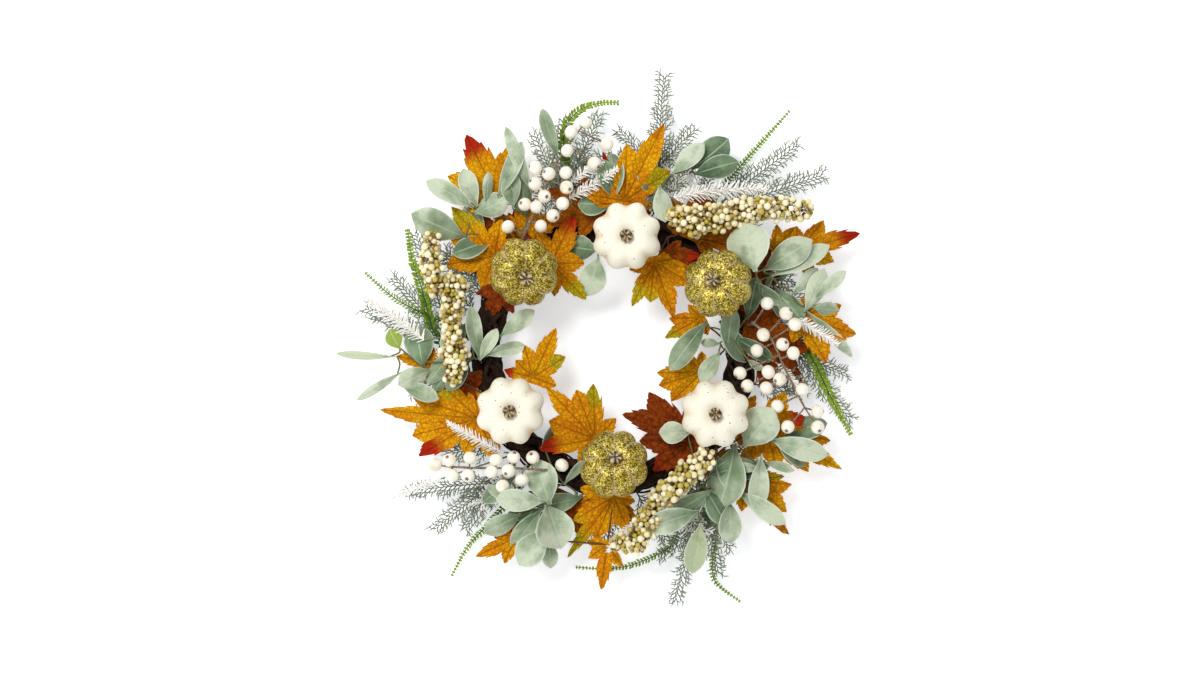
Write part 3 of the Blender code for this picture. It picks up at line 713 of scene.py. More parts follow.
def wire_finish(paint):
    """Brown paper tape wound on wire."""
    finish = Finish("paper_wrapped_wire", Specular_IOR_Level=0.3)
    fibre = finish.grain(900, 4.0, 0.7)
    colour = finish.mix(fibre.between(0.3, 0.7), paint.wire, painted(0.42, 0.31, 0.20))
    return finish.finished(colour, 0.55 + fibre * 0.3, fibre, 0.0003, 0.7)


def maple_finish(paint):
    """Golden cloth leaf with dark printed veins, red and yellow-green tips and a crackled network."""
    finish = Finish("maple_leaf_cloth", Specular_IOR_Level=0.12)
    along, across, out = finish.parts_of("blade")
    red, green, dark = finish.parts_of("hue")
    cloud = finish.grain(28, 3.0)
    fine = finish.grain(260, 4.0, 0.7)
    base = finish.ramp(
        cloud * 0.5 + fine * 0.5,
        (0.34, painted(0.76, 0.42, 0.0)), (0.46, paint.maple_gold), (0.57, painted(0.94, 0.68, 0.0)),
        (0.70, painted(0.99, 0.80, 0.08)),
    )
    brown = finish.mix(fine.between(0.35, 0.65), painted(0.34, 0.12, 0.02), painted(0.62, 0.28, 0.02))
    # Darkness turns a leaf brown; on the leaves set behind the others it is painted shade
    colour = finish.mix((dark * 1.1 + cloud * 0.5 - 0.25).between(0.1, 0.9), base, brown)
    colour = finish.mix((green * 1.5 + cloud - 0.65).between(0.05, 0.75), colour, paint.maple_green)
    colour = finish.mix((red * 1.5 + fine * 0.6 - 0.72).between(0.05, 0.8), colour, paint.maple_red)
    main = 1 - (abs(across) / (1.25 - out * 0.75)).between(0.45, 1.0)
    step = (along - abs(across) * 1.25) % 9.5
    side = (1 - (abs(step - 4.75) / 0.95).between(0.2, 1.0)) * (1 - out * 0.35)
    net = 1 - finish.cells(215, "DISTANCE_TO_EDGE").between(0.02, 0.15)
    mesh_line = 1 - finish.cells(560, "DISTANCE_TO_EDGE").between(0.0, 0.18)
    veins = main.most(side * 0.8).most(net * 0.9).most(mesh_line * 0.5)
    colour = finish.mix(veins * (0.25 + fine * 0.55), colour, painted(0.46, 0.20, 0.0))
    height = 1 - main * 0.9 - side * 0.5 - net * 0.35 + fine * 0.25
    return finish.finished(colour, 0.62 + fine * 0.25, height, 0.0010, 1.0)


def lamb_finish(paint):
    """Fuzzy sage leaf: pale rim and midrib, darker and greener in some leaves, and painted shade towards its
    base.
    """
    finish = Finish("lambs_ear_velvet", Specular_IOR_Level=0.2, Sheen_Weight=0.12, Sheen_Roughness=0.6)
    along, across, out = finish.parts_of("blade")
    tone, yellow, stalk = finish.parts_of("hue")
    cloud = finish.grain(55, 3.0)
    fuzz = finish.grain(1500, 2.0, 0.7)
    # Painted shade: a leaf gets darker towards its base, where it tucks in; its tone and a cloud vary it too
    shade = tone + (cloud - 0.5) * 1.1 + (0.35 - out) * 0.45 - abs(across) * 0.12
    colour = finish.ramp(
        shade,
        (0.0, painted(0.78, 0.82, 0.71)), (0.22, paint.sage), (0.50, painted(0.44, 0.53, 0.39)),
        (0.90, painted(0.20, 0.31, 0.17)),
    )
    colour = finish.mix(yellow.between(0.1, 0.9), colour, painted(0.55, 0.63, 0.18))
    rib = 1 - (abs(across) / 0.10).between(0.25, 1.0)
    step = (along - abs(across) * 9) % 7.0
    vein = (1 - (abs(step - 3.5) / 0.8).between(0.2, 1.0)) * (1 - abs(across).between(0.75, 0.95))
    rim = abs(across).between(0.86, 1.0).most(out.between(0.96, 1.0) * 0.6)
    colour = finish.mix(rim * 0.65, colour, painted(0.88, 0.92, 0.85))
    colour = finish.mix(rib * 0.45, colour, painted(0.76, 0.83, 0.70))
    colour = finish.mix(vein * 0.10, colour, painted(0.34, 0.47, 0.38))
    colour = finish.mix(fuzz.between(0.35, 0.75) * 0.16, colour, painted(0.90, 0.93, 0.88))
    colour = finish.mix(stalk.between(0.2, 0.8), colour, painted(0.40, 0.42, 0.26))
    height = fuzz * 0.4 - rib * 0.8 - vein * 0.3
    return finish.finished(colour, 0.78 + fuzz * 0.2, height, 0.0005, 0.7)


def white_pumpkin_finish(paint):
    """Matt ivory foam with painted beige shade in the grooves, round the dimples and round its widest part,
    and dark flecks.
    """
    finish = Finish("ivory_pumpkin", Specular_IOR_Level=0.35)
    groove, pole, rim = finish.parts_of("blade")
    cloud = finish.grain(30, 3.0)
    fine = finish.grain(420, 4.0, 0.65)
    # Painted shade: beige in the grooves, round the dimples and round the widest part, made uneven by a
    # cloud
    colour = finish.mix(
        (groove * 0.45 + rim * 0.5 + pole * 0.3 + cloud * 1.1 - 0.75).between(0.05, 0.9), paint.ivory,
        painted(0.88, 0.79, 0.63),
    )
    fleck = 1 - finish.cells(170).between(0.09, 0.15)
    chosen = finish.grain(60, 1.0).between(0.42, 0.50)
    colour = finish.mix(fleck * chosen * 0.85, colour, painted(0.30, 0.24, 0.17))
    dust = 1 - finish.cells(420).between(0.12, 0.22)
    colour = finish.mix(dust * fine.between(0.52, 0.62) * 0.5, colour, painted(0.50, 0.40, 0.28))
    height = fine * 0.6 + cloud - fleck * chosen * 0.6
    return finish.finished(colour, 0.5 + fine * 0.25, height, 0.0006, 0.5)


def gold_pumpkin_finish(paint):
    """Olive-gold glitter, with the grooves rubbed back to a pinkish beige and painted glints on some flakes.
    """
    finish = Finish("gold_glitter_pumpkin", Specular_IOR_Level=0.6)
    groove, _, _ = finish.parts_of("blade")
    patch = finish.grain(95, 4.0, 0.7)
    grit = finish.add("ShaderNodeSeparateColor", {}, {0: finish.cells(900, "F1", "Color")})
    shine = Wire(finish, grit.socket.node.outputs[1])
    colour = finish.ramp(
        grit * 0.55 + patch * 0.45,
        (0.28, painted(0.34, 0.27, 0.02)), (0.44, paint.gold), (0.60, painted(0.76, 0.66, 0.10)),
        (0.80, painted(0.97, 0.90, 0.50)),
    )
    worn = (groove * 1.1 + patch * 1.7 - 1.15).between(0.1, 0.75)
    colour = finish.mix(worn * 0.75, colour, painted(0.74, 0.65, 0.50))
    # Painted glints: pale specks on some glitter flakes stand for light catching them
    painted_glint = shine.between(0.88, 0.95) * patch.between(0.4, 0.55)
    colour = finish.mix(painted_glint * 0.85, colour, painted(1.0, 0.96, 0.72))
    metal = 0.5 * (1 - worn)
    return finish.finished(colour, 0.28 + shine * 0.4, grit + patch, 0.0007, 0.9, metal)


def stalk_finish(paint):
    """Dry stalk, darker between its ridges."""
    finish = Finish("dried_stalk", Specular_IOR_Level=0.3)
    ridge, _, _ = finish.parts_of("blade")
    grain = finish.grain(380, 4.0, 0.7)
    colour = finish.ramp(
        ridge * 0.25 + grain * 0.75,
        (0.36, painted(0.24, 0.17, 0.09)), (0.50, paint.stalk), (0.68, painted(0.84, 0.78, 0.64)),
    )
    return finish.finished(colour, 0.6 + grain * 0.3, grain + ridge * 0.4, 0.0008, 0.8)


def berry_finish(paint):
    """Waxy cream with a warmer cloud here and there."""
    finish = Finish("waxy_berry", Coat_Weight=0.15, Coat_Roughness=0.3)
    cloud = finish.grain(90, 2.0)
    fine = finish.grain(700, 3.0)
    colour = finish.mix(cloud.between(0.48, 0.80), paint.berry, painted(0.92, 0.87, 0.76))
    return finish.finished(colour, 0.32 + fine * 0.2, fine + cloud, 0.0003, 0.35)


def cap_finish():
    """Brown of a berry's crown and its stalk."""
    finish = Finish("berry_cap_brown", Specular_IOR_Level=0.3)
    grain = finish.grain(900, 3.0)
    colour = finish.mix(grain.between(0.35, 0.62), painted(0.24, 0.17, 0.12), painted(0.62, 0.55, 0.47))
    return finish.finished(colour, 0.6 + grain * 0.3, grain, 0.0004, 0.8)


def seed_finish(paint):
    """Beads from cream to tan, some of them gold-green, each with a soft blush; the darkest, deepest ones
    are partly painted shade.
    """
    finish = Finish("seed_beads", Specular_IOR_Level=0.45)
    tone, gold, _ = finish.parts_of("hue")
    blush = finish.grain(260, 2.0)
    colour = finish.ramp(
        tone + (blush - 0.5) * 0.35,
        (0.0, painted(1.0, 0.97, 0.84)), (0.34, paint.seed), (0.65, painted(0.66, 0.54, 0.30)),
        (0.95, painted(0.32, 0.23, 0.12)),
    )
    colour = finish.mix(gold.between(0.3, 0.7) * 0.85, colour, painted(0.72, 0.64, 0.08))
    return finish.finished(colour, 0.38 + blush * 0.25, blush, 0.0003, 0.4)


def frost_finish(paint):
    """Grey-green filigree, frosted towards its tips."""
    finish = Finish("frosted_fern", Specular_IOR_Level=0.25)
    _, _, out = finish.parts_of("blade")
    tone, white, _ = finish.parts_of("hue")
    grain = finish.grain(480, 3.0, 0.7)
    colour = finish.mix(
        (out * 0.6 + grain * 0.8 - 0.35).between(0.1, 0.8), painted(0.40, 0.43, 0.35), paint.fern_grey,
    )
    colour = finish.mix(tone * grain.between(0.4, 0.7) * 0.4, colour, painted(0.38, 0.44, 0.31))
    snow = (white + out * 0.35 + grain * 0.35 - 0.30).between(0.1, 0.6)
    colour = finish.mix(white.between(0.3, 0.7) * snow, colour, painted(0.99, 0.98, 0.96))
    return finish.finished(colour, 0.7 + grain * 0.25, grain, 0.0004, 0.7)


def green_finish(paint):
    """Fresh fern green, from deep at the stem to yellow-green at the tips."""
    finish = Finish("fresh_fern", Specular_IOR_Level=0.35)
    _, _, out = finish.parts_of("blade")
    tone, _, _ = finish.parts_of("hue")
    grain = finish.grain(240, 3.0)
    fresh = (tone + out * 0.25 + grain * 0.4 - 0.3).between(0.05, 0.95)
    colour = finish.mix(fresh, paint.fern_deep, paint.fern_fresh)
    return finish.finished(colour, 0.5 + grain * 0.3, grain, 0.0003, 0.6)


def vines(scene):
    """The bundle: a core, three wraps and the flat rear hoop, with thin tendrils wound over them."""
    finish = bark_finish(scene.wreath_paint)
    even = [360 * k / RING_STEPS for k in range(RING_STEPS)]

    def hoop(orbit, radius, turns, phase, sway, tuck=0):
        """A vine wound round the bundle. Tuck pulls it in beside the hanging loop."""
        line = []
        radii = []
        for angle in even:
            spot = direction(angle) * 3 + Vector((0, phase, 0))
            wander = Vector([noise.noise(spot + Vector((0, shift, 0))) for shift in (0.5, 37.5, 71.5)])
            turn = math.radians(angle * turns + phase)
            out = orbit - tuck * (1 - eased(8, 20, abs(angle - 90)))
            depth = BUNDLE_DEPTH + out * math.sin(turn) + wander.y * sway
            line.append(at(angle, out * math.cos(turn) + wander.x * sway, depth))
            radii.append(radius * (1 + 0.10 * wander.z))
        return line, radii

    plan = [("vine_core", 0, CORE_RADIUS * 1.35, 0, 0, 0.4)]
    plan += [
        (f"vine_wrap_{n + 1}", WRAP_ORBIT, VINE_RADIUS * 0.93, WRAP_TURNS, 360 * n / WRAP_COUNT, 0.5)
        for n in range(WRAP_COUNT)
    ]
    for node, orbit, radius, turns, phase, sway in plan:
        line, radii = hoop(orbit, radius, turns, phase, sway)
        shape = Shape()
        shape.tube(line, radii, 14, closed=True, rough=0.22)
        shape.made("bark_" + node, finish, "vine", stands_for=[node])
    shape = Shape()
    line = [at(angle, 0, BACK_DEPTH) for angle in even]
    radii = [waist(angle) for angle in even]
    shape.tube(line, radii, 10, closed=True, rough=0.06)
    shape.made("bark_vine_back", finish, "vine", stands_for=["vine_back"])
    shape = Shape()
    for n in range(TENDRILS):
        turns = (7, -5, 9)[n % 3]
        orbit = BUNDLE_RADIUS - (0.2, 2.5, 5.0)[n % 3]
        thick = scene.wreath_sizes.tendril_radius / MM * (0.9, 1.9, 2.4)[n % 3]
        line, radii = hoop(orbit, thick, turns, 360 * n / TENDRILS, 1.4, TENDRIL_TUCK)
        shape.tube(line, radii, 7, closed=True, rough=0.3)
    shape.made("vine_tendrils", finish, "vine")


def waist(angle):
    """The rear hoop's radius: it narrows where a wire crosses it."""
    widest = BACK_VINE_RADIUS
    for middle, half_length in WAISTS:
        past = abs((angle - middle + 180) % 360 - 180) * math.radians(RING_RADIUS) - half_length
        share = min(max(past / (BACK_VINE_RADIUS - WAIST_RADIUS), 0), 1)
        widest = min(widest, WAIST_RADIUS + (BACK_VINE_RADIUS - WAIST_RADIUS) * share)
    return widest


def wires(scene):
    """The hanging loop, and a finish for the ties and the pumpkins' picks that the frame already holds."""
    finish = wire_finish(scene.wreath_paint)
    hinge = at(90, 0, BACK_DEPTH)
    orbit = WAIST_RADIUS + EYE_GAP + LOOP_WIRE_RADIUS
    top = LOOP_REACH + LOOP_WIRE_RADIUS
    wide = LOOP_HALF_WIDTH
    places = [(0, 0, -orbit - 0.4), (1.8, -orbit * 0.75, -orbit * 0.75), (2.6, -orbit, 0)]
    places += [(wide * 0.62, -orbit * 0.8, 6), (wide, -orbit * 0.3, 14)]
    for k in range(9):
        turn = math.pi * k / 8
        places.append((wide * math.cos(turn), 0, top - wide + wide * math.sin(turn)))
    places += [(-wide, orbit * 0.3, 14), (-wide * 0.62, orbit * 0.8, 6)]
    places += [(-2.6, orbit, 0), (-1.8, orbit * 0.75, -orbit * 0.75)]
    line = curve_through([hinge + Vector(place) * MM for place in places], 6, closed=True)
    shape = Shape()
    shape.rod(line, LOOP_WIRE_RADIUS, 8, closed=True)
    shape.made("hanger_wire", finish, "wire", body="hanging_loop", stands_for=["hanging_loop"])
    for name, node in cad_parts.items():
        if name.startswith("binding_wire") or name.endswith("_pick"):
            for held in node.material_slots:
                held.material = finish


def pumpkins(scene):
    """Eight-lobed bodies with a stalk in the dimple."""
    paint = scene.wreath_paint
    finishes = {"white": white_pumpkin_finish(paint), "gold": gold_pumpkin_finish(paint)}
    stalks = stalk_finish(paint)
    around, rows = 112, 44
    for number, name in enumerate(PUMPKINS):
        kind = name.split("_")[0]
        middle, out = pumpkin_axis(name)
        turned = out.to_track_quat("Z", "Y").to_matrix()
        rand = random.Random(name)
        # Each lobe is a little fuller or slimmer than the next
        swell = [rand.uniform(-0.02, 0.02) for _ in range(PUMPKIN_LOBES)]
        shape = Shape()
        rings = []
        for row in range(rows + 1):
            t = math.pi * row / rows
            girth = math.sin(t)
            dip = 1 - PUMPKIN_DIMPLE * (1 - girth) ** 3
            ring = []
            for k in range(around if 0 < row < rows else 1):
                turn = 2 * math.pi * k / around
                if kind == "white":
                    fade = 0.35 + 0.65 * eased(0.2, 0.9, girth)
                    groove = (0.5 + 0.5 * math.cos(turn * PUMPKIN_LOBES)) ** 1.3 * fade
                else:
                    groove = 1 - abs(math.sin(turn * PUMPKIN_LOBES / 2)) ** 0.7
                lobe = swell[int(k * PUMPKIN_LOBES / around) % PUMPKIN_LOBES] * (1 - groove)
                reach = PUMPKIN_RADIUS * girth ** 0.8 * (1 + lobe - 0.125 * groove * girth ** 0.4)
                height = -PUMPKIN_HALF_HEIGHT * math.cos(t) * dip * (
                    1 - 0.10 * groove * (1 - abs(math.cos(t)) ** 4)
                )
                spot = Vector((reach * math.cos(turn), reach * math.sin(turn), height))
                spot *= 1 + 0.012 * noise.noise(spot / 14 + Vector((number * 7, 0, 0)))
                pole = max(0.0, 1 - girth) ** 2
                rim = girth ** 6
                ring.append(shape.point(middle + turned @ spot * MM, (groove ** 2, pole, rim)))
            rings.append(ring)
        shape.join(rings)
        shape.made(name + "_shell", finishes[kind], kind + "_pumpkin", stands_for=[name], sharp=80)
        stalk(name, middle, turned, stalks, rand)


def stalk(name, middle, turned, finish, rand):
    """A short ridged stalk with a broken end, flared where it meets the dimple."""
    pole = PUMPKIN_HALF_HEIGHT * (1 - PUMPKIN_DIMPLE)
    sides = 60
    ridges = 6
    lean = Vector((rand.uniform(-0.12, 0.12), rand.uniform(-0.12, 0.12), 0))
    shape = Shape()
    rings = []
    for height, radius, depth in STALK_PROFILE:
        ring = []
        for k in range(sides):
            turn = 2 * math.pi * k / sides
            wave = math.cos(turn * ridges + height * 0.12 + 1.3 * math.sin(turn * 2 + len(name)))
            smooth = Vector((radius * math.cos(turn), radius * math.sin(turn), height))
            chip = 1.2 * noise.noise(smooth * 0.45 + lean * 50)
            reach = radius * (1 + depth * wave) + chip * 0.8
            rise = pole + height + chip * (height > 8)
            spot = Vector((reach * math.cos(turn), reach * math.sin(turn), rise))
            spot += lean * max(height, 0)
            ring.append(shape.point(middle + turned @ spot * MM, (0.5 + 0.5 * wave, height / STALK_TOP, 0)))
        rings.append(ring)
    shape.join(rings)
    shape.faces.append(tuple(reversed(rings[0])))
    shape.faces.append(tuple(rings[-1]))
    shape.made(name + "_stalk", finish, "pumpkin_stem", stands_for=[name + "_stem"], sharp=60)


def lobed_outline(lobes, rand):
    """Corners round a lobed leaf as (degrees, reach), from its stalk round to its stalk."""
    longest = max(length for _, length, _ in lobes)
    lobes = sorted(lobes)
    if lobes[-1][0] < 75:
        lobes.append((lobes[-1][0] + 46, longest * 0.45, 0))
    if lobes[0][0] > -75:
        lobes.insert(0, (lobes[0][0] - 46, longest * 0.45, 0))
    notches = []
    for (left, left_length, _), (right, right_length, _) in zip(lobes, lobes[1:]):
        gap = right - left
        share = 0.86 - 0.21 * eased(22, 50, gap) - 0.14 * eased(50, 90, gap)
        notches.append(((left + right) / 2, share * min(left_length, right_length)))
    first, last = lobes[0], lobes[-1]
    notches.insert(0, (first[0] - 30, first[1] * 0.5))
    notches.append((last[0] + 30, last[1] * 0.5))
    corners = [(max(notches[0][0] - 20, -172), longest * 0.14)]
    for i, (angle, length, _) in enumerate(lobes):
        low, high = notches[i], notches[i + 1]
        if i == 0:
            corners.append(low)
        for share, rise in LOBE_SIDE:
            rise = rise + rand.uniform(-0.05, 0.05)
            corners.append((angle - (angle - low[0]) * share, low[1] + (length - low[1]) * rise))
        corners.append((angle, length))
        for share, rise in reversed(LOBE_SIDE):
            rise = rise + rand.uniform(-0.05, 0.05)
            corners.append((angle + (high[0] - angle) * share, high[1] + (length - high[1]) * rise))
        corners.append(high)
    corners.append((min(notches[-1][0] + 20, 172), longest * 0.14))
    return corners, lobes


def maple_leaf(shape, base, heading, tip_tilt, side_tilt, darkness, lobes, rand):
    """One leaf, as rings round the place where its veins meet."""
    corners, lobes = lobed_outline(lobes, rand)
    longest = max(length for _, length, _ in lobes)
    outline = []
    flat = [
        (reach * math.cos(math.radians(turn)), reach * math.sin(math.radians(turn)))
        for turn, reach in corners
    ]
    for (x0, y0), (x1, y1) in zip(flat, [*flat[1:], flat[0]]):
        parts = max(1, round(math.hypot(x1 - x0, y1 - y0) / 4.0))
        for k in range(parts):
            outline.append((x0 + (x1 - x0) * k / parts, y0 + (y1 - y0) * k / parts))
    along, across = direction(heading), direction(heading + 90)
    tip_slope, side_slope = math.tan(math.radians(tip_tilt)), math.tan(math.radians(side_tilt))
    phase = rand.uniform(0, FULL_TURN)
    curl = rand.uniform(0.06, 0.14)
    wave = rand.uniform(0.8, 1.9)

    def lay(x, y, share):
        """A point of the leaf: x along it, y across it, and bent out of its plane."""
        turn = math.degrees(math.atan2(y, x))
        reach = math.hypot(x, y)
        angle, length, tint = min(lobes, key=lambda lobe: abs(turn - lobe[0]))
        off = math.radians(turn - angle)
        down, aside = reach * math.cos(off), reach * math.sin(off)
        part = reach / longest
        height = 0.22 * min(abs(aside), 14) - curl * longest * part * part
        height += wave * math.sin(math.radians(turn) * 5 + phase) * part + x * tip_slope + y * side_slope
        height += 1.5 * noise.noise(Vector((x / 16, y / 16, phase)))
        place = base + (along * x + across * y) * MM - DEPTH_AXIS * height * MM
        place.y = min(place.y, -LEAST_DEPTH * MM)
        strength = eased(0.25, 0.95, down / length)
        hue = (max(tint, 0) * strength, max(-tint, 0) * strength, darkness)
        return shape.point(place, (down, aside, share), hue)

    middle = lay(0.01, 0, 0)
    rings = [[lay(x * share, y * share, share) for x, y in outline] for share in LEAF_RINGS]
    count = len(outline)
    for k in range(count):
        shape.faces.append((middle, rings[0][k - 1], rings[0][k]))
        for first, second in zip(rings, rings[1:]):
            shape.faces.append((first[k - 1], second[k - 1], second[k], first[k]))


def lamb_leaf(shape, base, heading, length, width, tone, rand):
    """One spoon-shaped leaf: cupped, arched, with a groove down its middle."""
    rows, columns = 18, 10
    along, across = direction(heading), direction(heading + 90)
    slope = math.tan(math.radians(rand.uniform(-20, 18)))
    side_slope = math.tan(math.radians(rand.uniform(-38, 38)))
    cup = rand.choice((-1, 1)) * rand.uniform(0.15, 0.55)
    arch = rand.uniform(0.05, 0.14) * length
    bend = rand.uniform(-0.07, 0.07) * length
    phase = rand.uniform(0, FULL_TURN)
    hue = (max(tone, 0), max(-tone, 0), 0)
    grid = []
    for i in range(rows + 1):
        s = 1 - (1 - i / rows) ** 1.15
        half = 0.0
        for (s0, w0), (s1, w1) in zip(LAMB_OUTLINE, LAMB_OUTLINE[1:]):
            if s0 <= s <= s1 + 1e-9:
                half = (w0 + (w1 - w0) * (s - s0) / (s1 - s0)) * width / 2
        row = []
        for j in range(columns + 1):
            side = 2 * j / columns - 1
            x = length * s - (abs(side) ** 3) * width * 0.06 * s
            y = half * side + bend * s * s - bend * s
            height = cup * half * side * side - 0.9 * math.exp(-((side / 0.16) ** 2)) * (1 - s)
            height += arch * 4 * s * (1 - s) + x * slope + y * side_slope
            height += 0.7 * math.sin(s * 9 + phase + side) * abs(side) ** 2
            place = base + (along * x + across * y) * MM - DEPTH_AXIS * height * MM
            place.y = min(place.y, -LEAST_DEPTH * MM)
            row.append(shape.point(place, (x, side, s), hue))
        grid.append(row)
    for first, second in zip(grid, grid[1:]):
        for j in range(columns):
            shape.faces.append((first[j], second[j], second[j + 1], first[j + 1]))


def stalks_to(shape, forks, base, heading, reach, radius, hue):
    """A wire stem from the nearest fork to where a leaf starts, and that start as a new fork."""
    into = base + direction(heading) * reach * MM + DEPTH_AXIS * 1.0 * MM
    nearest = min(forks, key=lambda fork: (fork - into).length)
    middle = (nearest + into) / 2 + DEPTH_AXIS * 1.5 * MM - direction(heading) * reach * 0.5 * MM
    line = curve_through([nearest, middle, into], 4)
    shape.tube(line, [radius] * (len(line) - 1) + [radius * 0.5], 6, hue=hue)
    forks.append(base + DEPTH_AXIS * 1.0 * MM)


def maple_leaves(scene):
    """The maple picks: the leaves that the table places, and ones behind them painted darker as painted
    shade.
    """
    thick = scene.wreath_sizes.leaf_thickness
    finish, wire = maple_finish(scene.wreath_paint), wire_finish(scene.wreath_paint)
    for name, (layer, angle, offset, leaves) in MAPLE_PICKS.items():
        rand = random.Random(name)
        depth = MAPLE_DEPTH + MAPLE_LAYER * layer
        blades, stems = Shape(), Shape()
        forks = [at(angle, offset, depth)]
        for leaf_angle, leaf_offset, heading, lift, tip_tilt, side_tilt, darkness, lobes in leaves:
            base = at(leaf_angle, leaf_offset, depth + lift)
            maple_leaf(blades, base, heading, tip_tilt, side_tilt, darkness, lobes, rand)
            stalks_to(stems, forks, base, heading, 5, 1.0, (0, 0, 1))
        for n in range(BACK_LEAVES):
            base = at(angle + rand.uniform(-12, 12), rand.uniform(4, 26), depth - 5 - 2 * n)
            heading = angle + rand.uniform(-65, 65)
            size = rand.uniform(46, 62)
            lobes = [
                (0, size, rand.uniform(0, 0.8)), (44, size * 0.8, 0),
                (-44, size * 0.8, rand.uniform(0, 0.6)),
            ]
            tilts = rand.uniform(-12, 4), rand.uniform(-12, 12)
            # Painted shade: the leaves behind get a random darkness that browns them
            maple_leaf(blades, base, heading, *tilts, rand.uniform(0.3, 0.9), lobes, rand)
            stalks_to(stems, forks, base, heading, 5, 1.0, (0, 0, 1))
        blades.made(f"maple_leaves_{name[-1]}", finish, "maple_leaf", stands_for=[name], thick=thick)
        stems.made(f"maple_stems_{name[-1]}", wire, "wire")


def lambs_ear(scene):
    """The lamb's ear sprigs, with leaves behind the ones that the table places, painted darker as painted
    shade.
    """
    thick = scene.wreath_sizes.leaf_thickness * 1.4
    finish = lamb_finish(scene.wreath_paint)
    for name, (layer, angle, offset, leaves) in LAMB_SPRIGS.items():
        rand = random.Random(name)
        depth = LAMB_DEPTH + LAMB_LAYER * layer
        blades, stems = Shape(), Shape()
        forks = [at(angle, offset, depth)]
        for leaf_angle, leaf_offset, heading, length, width, tone, lift in leaves:
            base = at(leaf_angle, leaf_offset, depth + lift)
            lamb_leaf(blades, base, heading, length * 1.05, width * 1.16, tone, rand)
            stalks_to(stems, forks, base, heading, length * 0.12, 0.9, (0.5, 0, 1))
        for n in range(BACK_LEAVES + 2):
            base = at(angle + rand.uniform(-14, 14), offset + rand.uniform(-12, 26), depth - 6 - 2 * n)
            heading = angle + rand.uniform(-75, 75)
            # Painted shade: the leaves behind get dark tones
            tone = rand.uniform(0.45, 0.95)
            lamb_leaf(blades, base, heading, rand.uniform(40, 58), rand.uniform(17, 25), tone, rand)
            stalks_to(stems, forks, base, heading, 5, 0.9, (0.5, 0, 1))
        leaves_name = f"lambs_ear_leaves_{name[-1]}"
        blades.made(leaves_name, finish, "lambs_ear_leaf", stands_for=[name], thick=thick)
        stems.made(f"lambs_ear_stems_{name[-1]}", finish, "lambs_ear_leaf")


def berries(scene):
    """Waxy berries with a brown crown, on wire stalks."""
    skin, cap = berry_finish(scene.wreath_paint), cap_finish()
    template = ball_template(4)
    for name, (stem, places) in BERRY_SPRAYS.items():
        rand = random.Random(name)
        line = [clear_of_pumpkins(at(*place, BERRY_DEPTH), 1.1) for place in stem]
        fruit, crowns, stalks = Shape(), Shape(), Shape()
        smooth = curve_through([*into_vines(*stem[0]), *line], 6)
        stalks.tube(smooth, [1.9 - 0.9 * k / len(smooth) for k in range(len(smooth))], 8, rough=0.3)
        for n, place in enumerate(places):
            lift = (0.0, 2.4, 1.1)[n % 3]
            centre = clear_of_pumpkins(at(*place, BERRY_DEPTH + lift), BERRY_RADIUS)
            join = nearest_on(line, centre)
            away = (centre - join).normalized() * 1.2 - DEPTH_AXIS * rand.choice((-0.8, -0.5, 0.1, 1.0))
            away = (away + Vector([rand.uniform(-0.5, 0.5) for _ in range(3)])).normalized()
            size = BERRY_RADIUS * rand.uniform(0.93, 1.0)

            def pressed(corner, away=away):
                """A ball that is a little flat where its crown sits."""
                end = corner.dot(away)
                return corner - away * end * 0.05 - away * 0.10 * max(0.0, end) ** 14

            fruit.ball(centre, size, template, (rand.random(), 0, 0), pressed)
            crown(crowns, centre + away * size * 0.84 * MM, away, rand)
            sag = (join + centre) / 2 - DEPTH_AXIS * 1.5 * MM
            stalks.rod(curve_through([join, sag, centre], 4), 0.95, 6, rough=0.3)
        fruit.made(f"berries_{name[-1]}", skin, "berry", stands_for=[name], sharp=180)
        crowns.made(f"berry_crowns_{name[-1]}", cap, "berry")
        stalks.made(f"berry_stalks_{name[-1]}", cap, "wire")


def crown(shape, foot, away, rand):
    """Five small points round a dark button."""
    side = away.orthogonal().normalized()
    up = away.cross(side)
    button = [foot + away * rise * MM for rise in (-0.6, 0.5, 0.9)]
    shape.tube(button, [1.5, 1.35, 0.5], 10)
    start = rand.uniform(0, FULL_TURN)
    for k in range(5):
        turn = start + 2 * math.pi * k / 5
        out = side * math.cos(turn) + up * math.sin(turn)
        across = away.cross(out)
        tip = foot + out * 2.5 * MM + away * 0.45 * MM
        shape.leaflet(foot + out * 0.8 * MM + away * 0.2 * MM, tip, across, 0.75, 0.28, (0, 0, 0))


